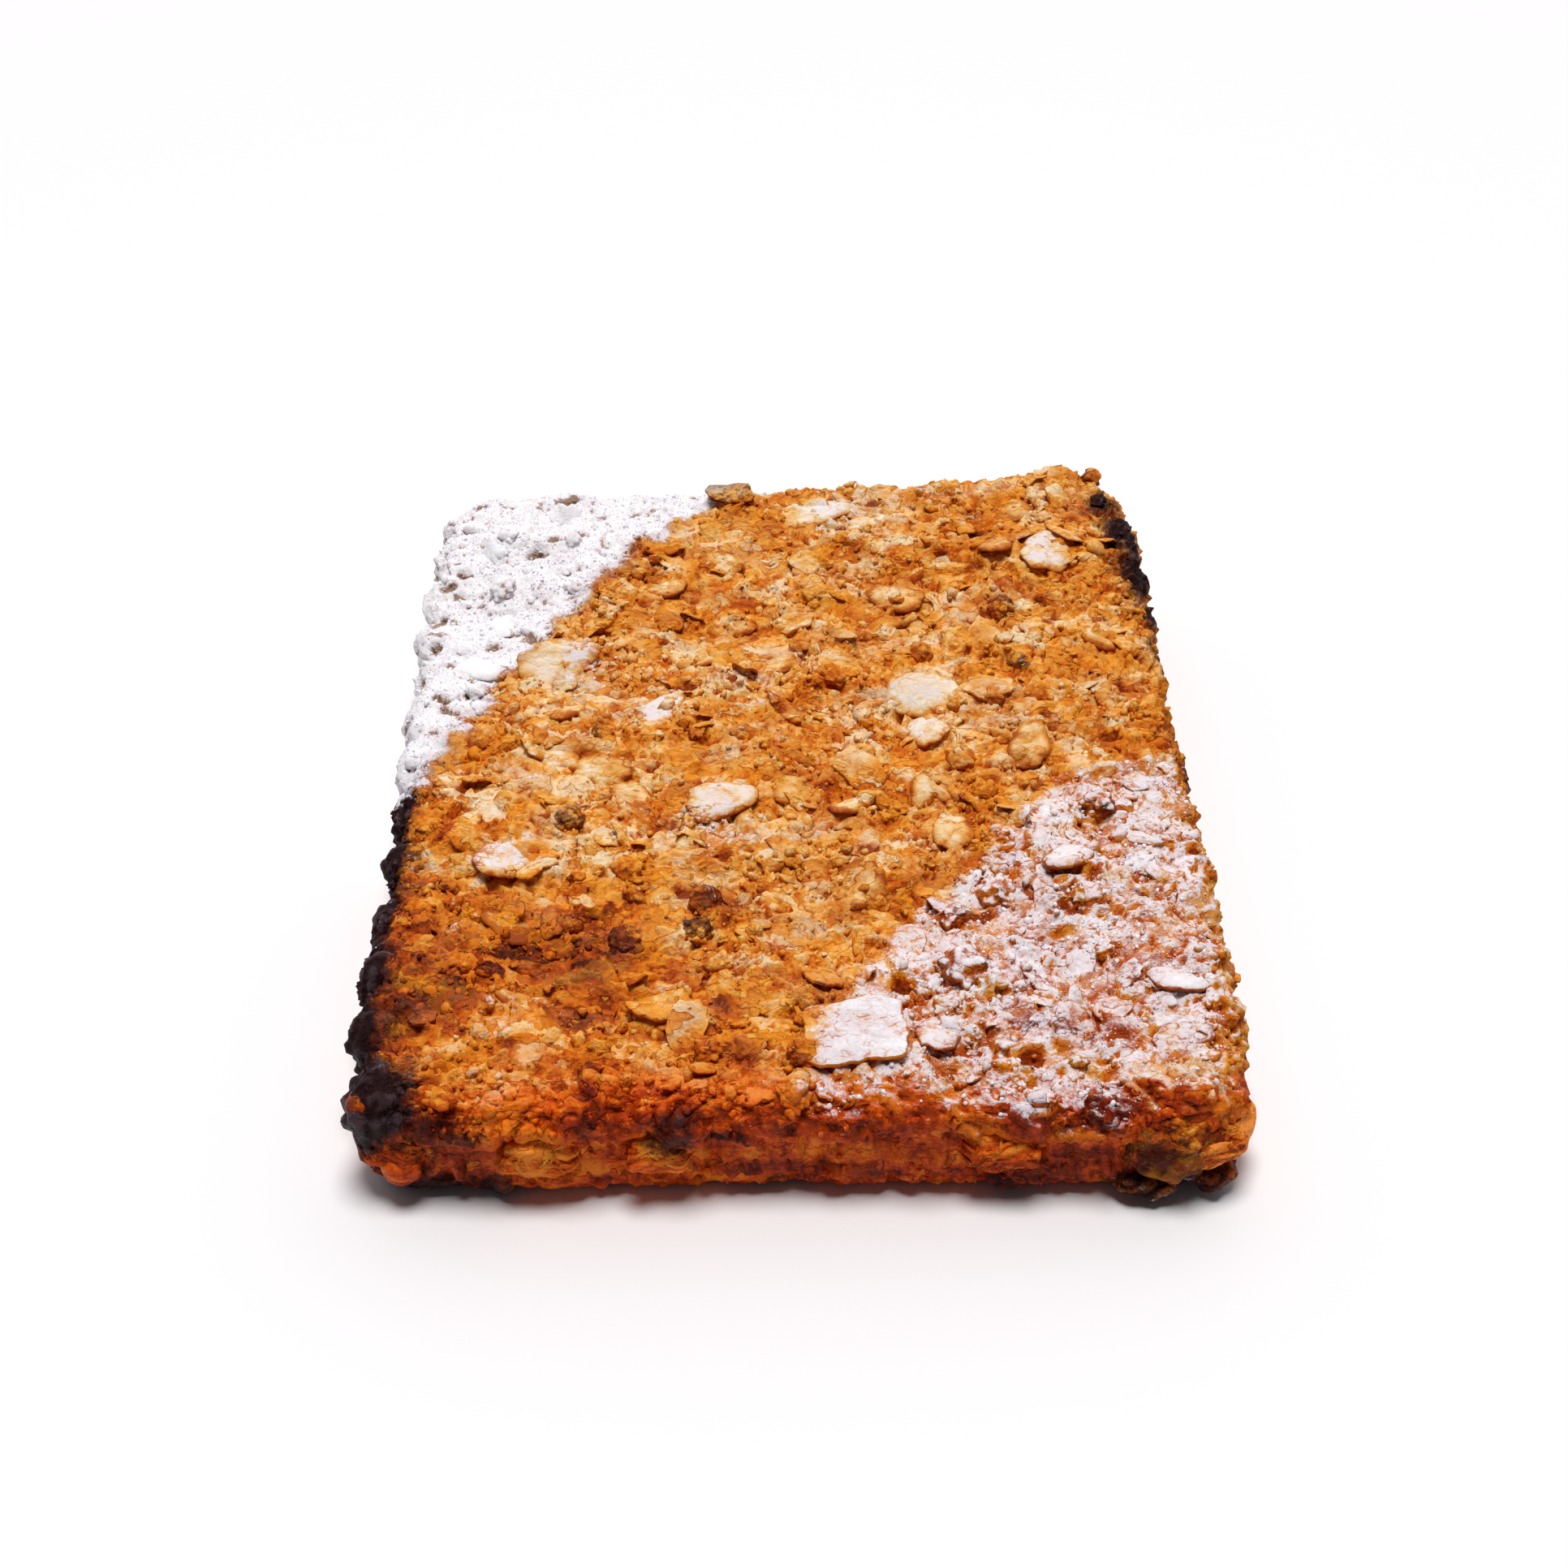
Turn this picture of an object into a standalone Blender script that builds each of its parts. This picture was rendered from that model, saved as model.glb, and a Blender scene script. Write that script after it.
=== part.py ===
"""Angel hair coca: a flat oblong pastry packet, crimped along its rim, with candied squash inside.

Metres, +Z up. The origin is at the middle of the base: x runs across, y from the front edge to the far edge.
"""

import math
import random

import bmesh
import bpy
from mathutils import Matrix, Vector, noise

# Driving dimensions of the whole packet.
WIDTH = 0.151
LENGTH = 0.190
THICKNESS = 0.0222
SEAM_HEIGHT = 0.0115

# The rounded edge: how far the top and the base lie inside the outline.
SHOULDER = 0.0068
UNDERCUT = 0.0056
SEAM_GROOVE = 0.0013
SEAM_HALF_GAP = 0.0011

# Corner radii, by the side in x and the side in y. The far right corner is cut off most.
CORNER_RADII = {(-1, -1): 0.012, (1, -1): 0.013, (-1, 1): 0.016, (1, 1): 0.027}
LEAST_CORNER_RADIUS = 0.002
CORNER_SHARPNESS = 8
ARC_PULL = 1 - math.sqrt(0.5)

# Where the sides are drawn in a little: middle of the waist, half its length and its depth.
LEFT_WAIST = (-0.030, 0.020, 0.0016)
RIGHT_WAIST = (0.028, 0.046, 0.0020)
FRONT_WAIST = (-0.005, 0.050, 0.0013)
WAIST_FADE = 4

# The grid over the top. Each lobe of the crimped rim is three of its cells long.
CELLS_ACROSS = 30
CELLS_ALONG = 39
CELLS_PER_LOBE = 3
UPPER_RINGS = 3
UPPER_RING_END = 0.4
LOWER_RINGS = 3

# The crimped rim: how far its notches lie inside the outline, how far the lobes of each side swell,
# and how much of that is left at the seam and under it.
NOTCH_DEPTH = 0.0016
LEFT_NOTCH_EXTRA = 0.0013
LOBE_SWELL = {"left": 0.0029, "right": 0.0023, "far": 0.0018, "front": 0.0015}
LOBE_RISE = 0.0009
LOBE_ROUNDNESS = 0.6
LOBE_VARIETY = (0.75, 0.45)
LOBE_SEED_STEP = 3.7
SEAM_LOBE_WEIGHT = 0.7
UNDERSIDE_LOBE_WEIGHT = 0.8

# Unevenness of the top: size of the features, height and seed.
RELIEF = ((0.046, 0.0026, 1.3), (0.019, 0.0022, 5.7), (0.0085, 0.0024, 9.1))
FAR_CORNER_TILT = 0.0042
SLOPE_REACH = 0.003

# How far the grid's points stray, so that the crags don't stand in rows.
GRID_STRAY = 0.0011
CRAG_HEIGHT = 0.0007

# The candied squash layer inside, which shows at the front seam and at both front corners.
FILLING_BASE = 0.0062
FILLING_TOP = 0.0140
FILLING_INSET = 0.0110
FILLING_ROUNDING = 0.0022
FILLING_THIN_SHARE = 0.45
FILLING_RINGS = ((1.0, 1.0), (0.4, 0.15), (-0.4, 0.15), (-1.0, 1.0))
FILLING_CELLS = 18
FILLING_FRONT_CELLS = 54
FITTING_GAP = 0.0003

# Where the layer reaches the outside: place along the front edge, half width and how far it stands proud.
# At the front corners: the side in x, how far the place reaches and how far the layer stands proud.
FILLING_SHOWS = ((-0.043, 0.0080, 0.0009), (-0.0235, 0.0065, 0.0009), (0.0330, 0.0080, 0.0007))
FILLING_CORNERS = ((1, 0.018, 0.0016), (-1, 0.016, 0.0006))

# Toppings: almond slices, browned crumb lumps and broken flakes of crust.
ALMOND_COUNT = 42
ALMOND_SPACING = 0.0105
ALMOND_THICKNESS = 0.0013
ALMOND_SIDES = 8
ALMOND_TAPER = 0.28
ALMOND_BOW = 0.0008
ALMOND_LENGTHS = (0.009, 0.013)
ALMOND_WIDTH_SHARES = (0.50, 0.70)
ALMOND_LEANS = (0.08, 0.15, 0.25, 0.35)
ALMOND_SINK_SHARE = 0.12
LARGE_ALMOND_WIDTH_SHARE = 0.62
LARGE_ALMOND_LEAN = 0.10
LARGE_ALMOND_RISE = 0.0002
LUMP_COUNT = 60
LUMP_SPACING = 0.0058
LUMP_RADII = (0.0014, 0.0026)
LUMP_FLATNESS = 0.8
LUMP_STRETCH = 1.2
LARGE_LUMP_SINK_SHARE = 0.1
SHARD_COUNT = 12
SHARD_SPACING = 0.0075
SHARD_LENGTHS = (0.006, 0.010)
SHARD_WIDTH_SHARE = 0.7
SHARD_THICKNESS = 0.0012
SHARD_CORNERS = 5
SHARD_RISE = 0.0004
SHARD_LEANS = (0.15, 0.35)
TOPPING_MARGIN = 0.009

# Uneven shapes: how far the points of a lump and the corners of a flake stray from its radius.
LUMP_UNEVENNESS = (0.82, 1.12)
FLAKE_UNEVENNESS = (1.00, 1.40)
SQUARE_UNEVENNESS = (0.98, 1.10)
SQUARE_POWER = 8

# Seeds of the random draws, one for each kind.
CRAG_SEED = 41
ALMOND_SEED = 7
LUMP_SEED = 12
SHARD_SEED = 23
SHAPE_SEED = 5

# The slices and lumps that stand out, at their own places: x, y, and length and turn, or radius.
LARGE_ALMONDS = (
    (0.026, 0.017, 0.016, 10),
    (0.053, 0.059, 0.016, 70),
    (0.005, 0.081, 0.018, 5),
    (-0.046, 0.029, 0.017, 20),
    (-0.052, -0.031, 0.014, 60),
    (-0.013, -0.019, 0.014, 15),
    (0.028, -0.024, 0.012, 100),
    (0.025, 0.006, 0.012, 120),
    (-0.026, 0.013, 0.013, 40),
    (0.021, 0.048, 0.013, 150),
    (-0.056, -0.016, 0.012, 80),
    (-0.036, -0.006, 0.012, 160),
    (0.001, -0.012, 0.013, 35),
    (0.044, -0.002, 0.012, 75),
)
LARGE_LUMPS = (
    (0.035, 0.0215, 0.0042),
    (0.031, -0.004, 0.0032),
    (-0.016, -0.043, 0.0034),
    (-0.017, -0.051, 0.0030),
    (-0.014, -0.060, 0.0032),
    (-0.030, -0.053, 0.0034),
    (-0.030, -0.035, 0.0032),
    (-0.041, -0.022, 0.0030),
    (0.055, -0.020, 0.0034),
    (0.035, -0.042, 0.0034),
    (0.028, -0.063, 0.0050),
    (0.042, 0.042, 0.0030),
)

# The wide, nearly square flake that lifts near the front edge.
FLAKE_PLACE = (0.0087, -0.0785)
FLAKE_SIZE = (0.0160, 0.0130)
FLAKE_THICKNESS = 0.0014
FLAKE_RISE = 0.0008
FLAKE_CORNERS = 8
FLAKE_LEAN = 0.05

# The browned flake that stands up at the far edge.
FAR_FLAKE_PLACE = (-0.012, 0.0855)
FAR_FLAKE_SIZE = (0.0105, 0.0060)
FAR_FLAKE_RISE = 0.0006
FAR_FLAKE_LEAN = 0.10

# Burnt knobs of the left rim, the bulges and fibrous lump of the front face, and the beads of dried glaze
# at its left corner: middle and radii.
LEFT_KNOBS = 6
LEFT_KNOB_RADII = (0.0056, 0.0058, 0.0062)
KNOB_INSET = 0.0050
KNOB_DROP = 0.0050
KNOB_FADE = 0.07
CORNER_KNOB = ((-0.0685, -0.0865, 0.0150), (0.0068, 0.0066, 0.0082))
FRONT_KNOBS = (
    ((-0.0195, -0.0905, 0.0150), (0.0052, 0.0040, 0.0050)),
    ((0.0365, -0.0900, 0.0150), (0.0065, 0.0042, 0.0055)),
    ((0.0500, -0.0895, 0.0155), (0.0050, 0.0040, 0.0048)),
    ((0.0605, -0.0900, 0.0105), (0.0088, 0.0062, 0.0085)),
    ((0.0575, -0.0915, 0.0032), (0.0062, 0.0046, 0.0026)),
    ((0.0675, -0.0900, 0.0032), (0.0052, 0.0046, 0.0026)),
    ((-0.0610, -0.0885, 0.0034), (0.0085, 0.0042, 0.0028)),
)
BEADS = (
    ((-0.0655, -0.0925, 0.0075), (0.0034, 0.0024, 0.0032)),
    ((-0.0715, -0.0885, 0.0180), (0.0028, 0.0030, 0.0030)),
)

# Colour and roughness of each material.
BAKED_CRUST = ((0.62, 0.30, 0.08), 0.6)
CANDIED_SQUASH = ((0.80, 0.42, 0.08), 0.25)

HALF_WIDTH = WIDTH / 2
HALF_LENGTH = LENGTH / 2


def wave(x, y, size, seed):
    """A smooth random value from about -1 to 1, with features of this size."""
    return noise.noise(Vector((x / size, y / size, seed)))


def top_height(x, y):
    """Height of the top face over the base."""
    tilt = FAR_CORNER_TILT * (x / HALF_WIDTH) * max(0.0, y / HALF_LENGTH)
    return THICKNESS + tilt + sum(height * wave(x, y, size, seed) for size, height, seed in RELIEF)


def waist(place, middle, half_length, depth):
    """How far a side is drawn in at this place along it."""
    return depth * math.exp(-(((place - middle) / half_length) ** 2))


def plan_point(a, b, inset):
    """The place in plan of the square's point (a, b), each from -1 to 1, on an outline drawn in by inset."""
    side = (1 if a >= 0 else -1, 1 if b >= 0 else -1)
    pull = ARC_PULL * max(CORNER_RADII[side] - inset, LEAST_CORNER_RADIUS) * abs(a * b) ** CORNER_SHARPNESS
    x = a * (HALF_WIDTH - inset) - side[0] * pull
    y = b * (HALF_LENGTH - inset) - side[1] * pull
    drawn_x = waist(y, *(LEFT_WAIST if a < 0 else RIGHT_WAIST))
    drawn_y = waist(x, *FRONT_WAIST) if b < 0 else 0.0
    return x - side[0] * drawn_x * abs(a) ** WAIST_FADE, y + drawn_y * abs(b) ** WAIST_FADE


def lobe_swell(a, b):
    """How far the lobes swell at this place of the rim."""
    if abs(a) >= abs(b):
        return LOBE_SWELL["left" if a < 0 else "right"]
    return LOBE_SWELL["front" if b < 0 else "far"]


def lobe_share(a, b):
    """0 in the notch between two lobes of the crimped rim, up to 1 at the crown of a lobe."""
    along = (b + 1) / 2 * CELLS_ALONG if abs(a) >= abs(b) else (a + 1) / 2 * CELLS_ACROSS
    number = along / CELLS_PER_LOBE
    middle, reach = LOBE_VARIETY
    variety = middle + reach * noise.noise(Vector((math.floor(number) * LOBE_SEED_STEP, a * 2, b * 2)))
    return variety * abs(math.sin(math.pi * number)) ** LOBE_ROUNDNESS


def rim_shift(a, b):
    """How far the crimping draws this place of the rim in; less than nothing where it swells out."""
    lobe = lobe_share(a, b)
    shift = NOTCH_DEPTH - lobe_swell(a, b) * lobe
    if a <= -1:
        shift += LEFT_NOTCH_EXTRA * (1 - lobe) * (1 - b**CORNER_SHARPNESS)
    return shift


def square_rim():
    """The points (a, b) round the edge of the square grid, anticlockwise from its front left corner."""
    across = [2 * i / CELLS_ACROSS - 1 for i in range(CELLS_ACROSS + 1)]
    along = [2 * j / CELLS_ALONG - 1 for j in range(CELLS_ALONG + 1)]
    front = [(a, -1.0) for a in across[:-1]]
    right = [(1.0, b) for b in along[:-1]]
    far = [(a, 1.0) for a in reversed(across[1:])]
    left = [(-1.0, b) for b in reversed(along[1:])]
    return front + right + far + left


def side_rings():
    """(inset, share of the height over or under the seam, weight of the lobes) for each ring, top to base."""
    rings = []
    for k in range(1, UPPER_RINGS + 1):
        angle = math.pi / 2 * k / (UPPER_RINGS + UPPER_RING_END)
        rings.append((SHOULDER * (1 - math.sin(angle)), math.cos(angle), math.sin(angle)))
    rings.append((SEAM_GROOVE, 0.0, SEAM_LOBE_WEIGHT))
    for k in range(1, LOWER_RINGS + 1):
        angle = math.pi / 2 * k / LOWER_RINGS
        weight = UNDERSIDE_LOBE_WEIGHT * math.cos(angle)
        rings.append((UNDERCUT * (1 - math.cos(angle)), -math.sin(angle), weight))
    return rings


def ring_point(a, b, inset, share, weight):
    """One point of the side: share is 1 at the shoulder, 0 at the seam and -1 at the base."""
    x, y = plan_point(a, b, inset + weight * rim_shift(a, b))
    shoulder = top_height(*plan_point(a, b, SHOULDER))
    if share > 0:
        z = SEAM_HEIGHT + SEAM_HALF_GAP + (shoulder - SEAM_HEIGHT - SEAM_HALF_GAP) * share
        z += LOBE_RISE * lobe_share(a, b) * math.sin(math.pi * share)
    elif share == 0:
        z = SEAM_HEIGHT
    else:
        z = (SEAM_HEIGHT - SEAM_HALF_GAP) * (1 + share)
    return Vector((x, y, z))


def mesh_object(name, mesh_data):
    """A new object from a bmesh, with its faces pointing out."""
    bmesh.ops.recalc_face_normals(mesh_data, faces=mesh_data.faces)
    mesh = bpy.data.meshes.new(name)
    mesh_data.to_mesh(mesh)
    mesh_data.free()
    obj = bpy.data.objects.new(name, mesh)
    bpy.context.scene.collection.objects.link(obj)
    return obj


def top_grid():
    """The points of the uneven top, by their place (i, j) in the grid."""
    rng = random.Random(CRAG_SEED)
    points = {}
    for i in range(CELLS_ACROSS + 1):
        for j in range(CELLS_ALONG + 1):
            x, y = plan_point(2 * i / CELLS_ACROSS - 1, 2 * j / CELLS_ALONG - 1, SHOULDER)
            crag = 0.0
            if 0 < i < CELLS_ACROSS and 0 < j < CELLS_ALONG:
                x += rng.uniform(-GRID_STRAY, GRID_STRAY)
                y += rng.uniform(-GRID_STRAY, GRID_STRAY)
                crag = rng.uniform(-CRAG_HEIGHT, CRAG_HEIGHT)
            points[i, j] = Vector((x, y, top_height(x, y) + crag))
    return points


def pastry_slab():
    """The packet itself: the uneven top, the crimped side with its seam, and the flat base."""
    bm = bmesh.new()
    grid = {place: bm.verts.new(point) for place, point in top_grid().items()}
    for i in range(CELLS_ACROSS):
        for j in range(CELLS_ALONG):
            bm.faces.new((grid[i, j], grid[i + 1, j], grid[i + 1, j + 1], grid[i, j + 1]))
    rim = square_rim()
    last = [
        grid[round((a + 1) / 2 * CELLS_ACROSS), round((b + 1) / 2 * CELLS_ALONG)] for a, b in rim
    ]
    for inset, share, weight in side_rings():
        ring = [bm.verts.new(ring_point(a, b, inset, share, weight)) for a, b in rim]
        for k in range(len(rim)):
            after = (k + 1) % len(rim)
            bm.faces.new((last[k], last[after], ring[after], ring[k]))
        last = ring
    bm.faces.new(last)
    return mesh_object("pastry", bm)


def filling_edge(x, y):
    """How far inside the outline the squash layer ends here, and its share of the full thickness."""
    inset, fullness = FILLING_INSET, FILLING_THIN_SHARE
    shows = [(abs(x - place) / half_width, proud) for place, half_width, proud in FILLING_SHOWS if y < 0]
    for side, reach, proud in FILLING_CORNERS:
        shows.append((math.hypot(x - side * HALF_WIDTH, y + HALF_LENGTH) / reach, proud))
    for away, proud in shows:
        share = max(0.0, 1 - away**2)
        inset = min(inset, FILLING_INSET - (FILLING_INSET + proud) * min(1.0, 2 * share))
        fullness = max(fullness, FILLING_THIN_SHARE + (1 - FILLING_THIN_SHARE) * share)
    return inset, fullness


def filling_rim():
    """The points (a, b) round the edge of the squash layer, closer together along the front."""
    front = [2 * k / FILLING_FRONT_CELLS - 1 for k in range(FILLING_FRONT_CELLS)]
    steps = [2 * k / FILLING_CELLS - 1 for k in range(FILLING_CELLS + 1)]
    rim = [(a, -1.0) for a in front] + [(1.0, b) for b in steps[:-1]]
    return rim + [(a, 1.0) for a in reversed(steps[1:])] + [(-1.0, b) for b in reversed(steps[1:])]


def filling_point(a, b, level, drawn_in, grow):
    """One point of the layer's outside: level is 1 at its top and -1 at its base."""
    inset, fullness = filling_edge(*plan_point(a, b, 0.0))
    x, y = plan_point(a, b, inset + FILLING_ROUNDING * drawn_in - grow)
    middle = (FILLING_BASE + FILLING_TOP) / 2
    half = (FILLING_TOP - FILLING_BASE) / 2
    return x, y, middle + level * (half * fullness + grow)


def filling_layer(name, grow):
    """The squash layer, or with grow the slightly larger room that the pastry leaves for it."""
    bm = bmesh.new()
    rim = filling_rim()
    rings = []
    for level, drawn_in in FILLING_RINGS:
        rings.append([bm.verts.new(filling_point(a, b, level, drawn_in, grow)) for a, b in rim])
    for upper, lower in zip(rings, rings[1:]):
        for k in range(len(rim)):
            after = (k + 1) % len(rim)
            bm.faces.new((upper[k], upper[after], lower[after], lower[k]))
    for ring, height in ((rings[0], FILLING_TOP + grow), (rings[-1], FILLING_BASE - grow)):
        crown = bm.verts.new((0, 0, height))
        for k in range(len(ring)):
            bm.faces.new((ring[k], ring[(k + 1) % len(ring)], crown))
    return mesh_object(name, bm)


def lie_on_top(obj, x, y, sink, turn, lean=0.0, lean_way=0.0):
    """Lays a piece on the top face at (x, y), turned about the vertical and leaning a little."""
    step = SLOPE_REACH
    slope_x = (top_height(x + step, y) - top_height(x - step, y)) / (2 * step)
    slope_y = (top_height(x, y + step) - top_height(x, y - step)) / (2 * step)
    upright = Vector((-slope_x, -slope_y, 1)).normalized()
    tilt = Vector((0, 0, 1)).rotation_difference(upright).to_matrix().to_4x4()
    leaning = Matrix.Rotation(lean, 4, Vector((math.cos(lean_way), math.sin(lean_way), 0)))
    place = Matrix.Translation((x, y, top_height(x, y) - sink))
    obj.data.transform(place @ tilt @ leaning @ Matrix.Rotation(turn, 4, "Z"))


def any_turn(rng):
    """A random angle."""
    return rng.uniform(0, 2 * math.pi)


def scatter(count, spacing, taken, rng):
    """Random places on the top, this far apart and clear of the places already taken."""
    places = []
    while len(places) < count:
        x = rng.uniform(TOPPING_MARGIN - HALF_WIDTH, HALF_WIDTH - TOPPING_MARGIN)
        y = rng.uniform(TOPPING_MARGIN - HALF_LENGTH, HALF_LENGTH - TOPPING_MARGIN)
        if all(math.hypot(x - u, y - v) > spacing for u, v in taken + places):
            places.append((x, y))
    return places


def almond_places():
    """For each slice: x, y, length, width, turn, lean, the way it leans, and how deep it is sunk."""
    rng = random.Random(ALMOND_SEED)
    places = []
    for x, y, length, turn in LARGE_ALMONDS:
        width = length * LARGE_ALMOND_WIDTH_SHARE
        lean_way = any_turn(rng)
        places.append(
            (x, y, length, width, math.radians(turn), LARGE_ALMOND_LEAN, lean_way, -LARGE_ALMOND_RISE)
        )
    taken = [FLAKE_PLACE, FAR_FLAKE_PLACE] + [place[:2] for place in places]
    for x, y in scatter(ALMOND_COUNT - len(places), ALMOND_SPACING, taken, rng):
        length = rng.uniform(*ALMOND_LENGTHS)
        width = length * rng.uniform(*ALMOND_WIDTH_SHARES)
        lean = rng.choice(ALMOND_LEANS)
        sink = length * lean * ALMOND_SINK_SHARE
        places.append((x, y, length, width, any_turn(rng), lean, any_turn(rng), sink))
    return places


def lump_places(taken):
    """For each crumb lump: x, y, its radii, turn, and how deep it is sunk."""
    rng = random.Random(LUMP_SEED)
    places = []
    for x, y, radius in LARGE_LUMPS:
        radii = (radius, radius, radius * LUMP_FLATNESS)
        places.append((x, y, radii, any_turn(rng), radius * LARGE_LUMP_SINK_SHARE))
    blocked = taken + [place[:2] for place in places]
    for x, y in scatter(LUMP_COUNT - len(places), LUMP_SPACING, blocked, rng):
        radius = rng.uniform(*LUMP_RADII)
        radii = (radius * LUMP_STRETCH, radius, radius * LUMP_FLATNESS)
        places.append((x, y, radii, any_turn(rng), 0.0))
    return places


def shard_places(taken):
    """For each lifted flake of crust: x, y, length, turn, lean and the way it leans."""
    rng = random.Random(SHARD_SEED)
    places = []
    for x, y in scatter(SHARD_COUNT, SHARD_SPACING, taken, rng):
        length = rng.uniform(*SHARD_LENGTHS)
        places.append((x, y, length, any_turn(rng), rng.uniform(*SHARD_LEANS), any_turn(rng)))
    return places


def almond_slice(number, length, width, rng):
    """A thin slice of almond: rounded at one end, pointed at the other and slightly bowed."""
    bm = bmesh.new()
    bow = rng.uniform(-ALMOND_BOW, ALMOND_BOW)
    rings = []
    for side in (1, -1):
        ring = []
        for k in range(ALMOND_SIDES):
            angle = 2 * math.pi * k / ALMOND_SIDES
            taper = 1 - ALMOND_TAPER * math.cos(angle)
            x = length / 2 * math.cos(angle)
            y = width / 2 * math.sin(angle) * taper
            bowed = bow * (2 * x / length) ** 2
            ring.append(bm.verts.new((x, y, bowed + side * ALMOND_THICKNESS / 2)))
        rings.append(ring)
    for k in range(ALMOND_SIDES):
        after = (k + 1) % ALMOND_SIDES
        bm.faces.new((rings[0][k], rings[0][after], rings[1][after], rings[1][k]))
    for ring in rings:
        crown = bm.verts.new(sum((v.co for v in ring), Vector()) / ALMOND_SIDES)
        crown.co.z -= bow / 2
        for k in range(ALMOND_SIDES):
            bm.faces.new((ring[k], ring[(k + 1) % ALMOND_SIDES], crown))
    return mesh_object(f"almond_{number}", bm)


def crumb_lump(name, radii, subdivisions, rng):
    """A knobbly lump with about these radii."""
    bm = bmesh.new()
    bmesh.ops.create_icosphere(bm, subdivisions=subdivisions, radius=1.0)
    for v in bm.verts:
        v.co *= rng.uniform(*LUMP_UNEVENNESS)
        v.co = Vector((v.co.x * radii[0], v.co.y * radii[1], v.co.z * radii[2]))
    return mesh_object(name, bm)


def uneven_outline(corners, rng):
    """The corners of an uneven polygon round a circle of radius 1."""
    angles = [2 * math.pi * k / corners + math.pi / 4 for k in range(corners)]
    reaches = [rng.uniform(*FLAKE_UNEVENNESS) for _ in angles]
    return [(r * math.cos(t), r * math.sin(t)) for r, t in zip(reaches, angles)]


def square_outline(corners, rng):
    """The corners of an uneven polygon near a square with sides 2 long."""
    outline = []
    for k in range(corners):
        angle = 2 * math.pi * k / corners + math.pi / 4
        across, along = math.cos(angle), math.sin(angle)
        reach = (abs(across) ** SQUARE_POWER + abs(along) ** SQUARE_POWER) ** (-1 / SQUARE_POWER)
        reach *= rng.uniform(*SQUARE_UNEVENNESS)
        outline.append((reach * across, reach * along))
    return outline


def crust_flake(name, length, width, thickness, outline):
    """A broken plate of crust with this outline, stretched to its length and width."""
    bm = bmesh.new()
    corners = len(outline)
    rings = []
    for side in (1, -1):
        spots = [(length / 2 * u, width / 2 * v, side * thickness / 2) for u, v in outline]
        rings.append([bm.verts.new(spot) for spot in spots])
    for k in range(corners):
        after = (k + 1) % corners
        bm.faces.new((rings[0][k], rings[0][after], rings[1][after], rings[1][k]))
    bm.faces.new(rings[0])
    bm.faces.new(rings[1])
    return mesh_object(name, bm)


def toppings(rng):
    """The almond slices, the crumb lumps and the lifted flakes of crust, each laid in its place."""
    pieces = []
    slices = almond_places()
    for x, y, length, width, turn, lean, lean_way, sink in slices:
        piece = almond_slice(len(pieces), length, width, rng)
        lie_on_top(piece, x, y, sink, turn, lean, lean_way)
        pieces.append(piece)
    taken = [FLAKE_PLACE, FAR_FLAKE_PLACE] + [place[:2] for place in slices]
    for x, y, radii, turn, sink in lump_places(taken):
        piece = crumb_lump(f"lump_{len(pieces)}", radii, 1, rng)
        lie_on_top(piece, x, y, sink, turn)
        pieces.append(piece)
    for x, y, length, turn, lean, lean_way in shard_places(taken):
        width = length * SHARD_WIDTH_SHARE
        outline = uneven_outline(SHARD_CORNERS, rng)
        piece = crust_flake(f"shard_{len(pieces)}", length, width, SHARD_THICKNESS, outline)
        lie_on_top(piece, x, y, -SHARD_RISE, turn, lean, lean_way)
        pieces.append(piece)
    return pieces


def edge_flakes(rng):
    """The wide flake near the front edge, and the one that stands up at the far edge."""
    wide = crust_flake("wide_flake", *FLAKE_SIZE, FLAKE_THICKNESS, square_outline(FLAKE_CORNERS, rng))
    lie_on_top(wide, *FLAKE_PLACE, -FLAKE_RISE, 0.0, FLAKE_LEAN)
    far = crust_flake("far_flake", *FAR_FLAKE_SIZE, FLAKE_THICKNESS, uneven_outline(FLAKE_CORNERS, rng))
    lie_on_top(far, *FAR_FLAKE_PLACE, -FAR_FLAKE_RISE, 0.0, FAR_FLAKE_LEAN)
    return [wide, far]


def knob_places():
    """Middle and radii of each burnt knob of the left rim, and of the bulges of the front face."""
    pitch = LENGTH * CELLS_PER_LOBE / CELLS_ALONG
    places = []
    for k in range(1, LEFT_KNOBS + 1):
        x = KNOB_INSET - HALF_WIDTH
        y = (k + 0.5) * pitch - HALF_LENGTH
        radii = [radius * (1 - KNOB_FADE * k) for radius in LEFT_KNOB_RADII]
        places.append(((x, y, top_height(x, y) - KNOB_DROP), radii))
    return places + [CORNER_KNOB, *FRONT_KNOBS]


def rim_knobs(rng):
    """The burnt knobs of the left rim, and the bulges and beads of the front face."""
    places = [(middle, radii, 2) for middle, radii in knob_places()]
    places += [(middle, radii, 1) for middle, radii in BEADS]
    pieces = []
    for middle, radii, subdivisions in places:
        piece = crumb_lump(f"knob_{len(pieces)}", radii, subdivisions, rng)
        piece.data.transform(Matrix.Translation(middle))
        pieces.append(piece)
    return pieces


def apply_modifiers(obj):
    """Puts the evaluated mesh in place of the object's own and clears its modifiers."""
    graph = bpy.context.evaluated_depsgraph_get()
    mesh = bpy.data.meshes.new_from_object(obj.evaluated_get(graph))
    obj.modifiers.clear()
    obj.data = mesh


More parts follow.
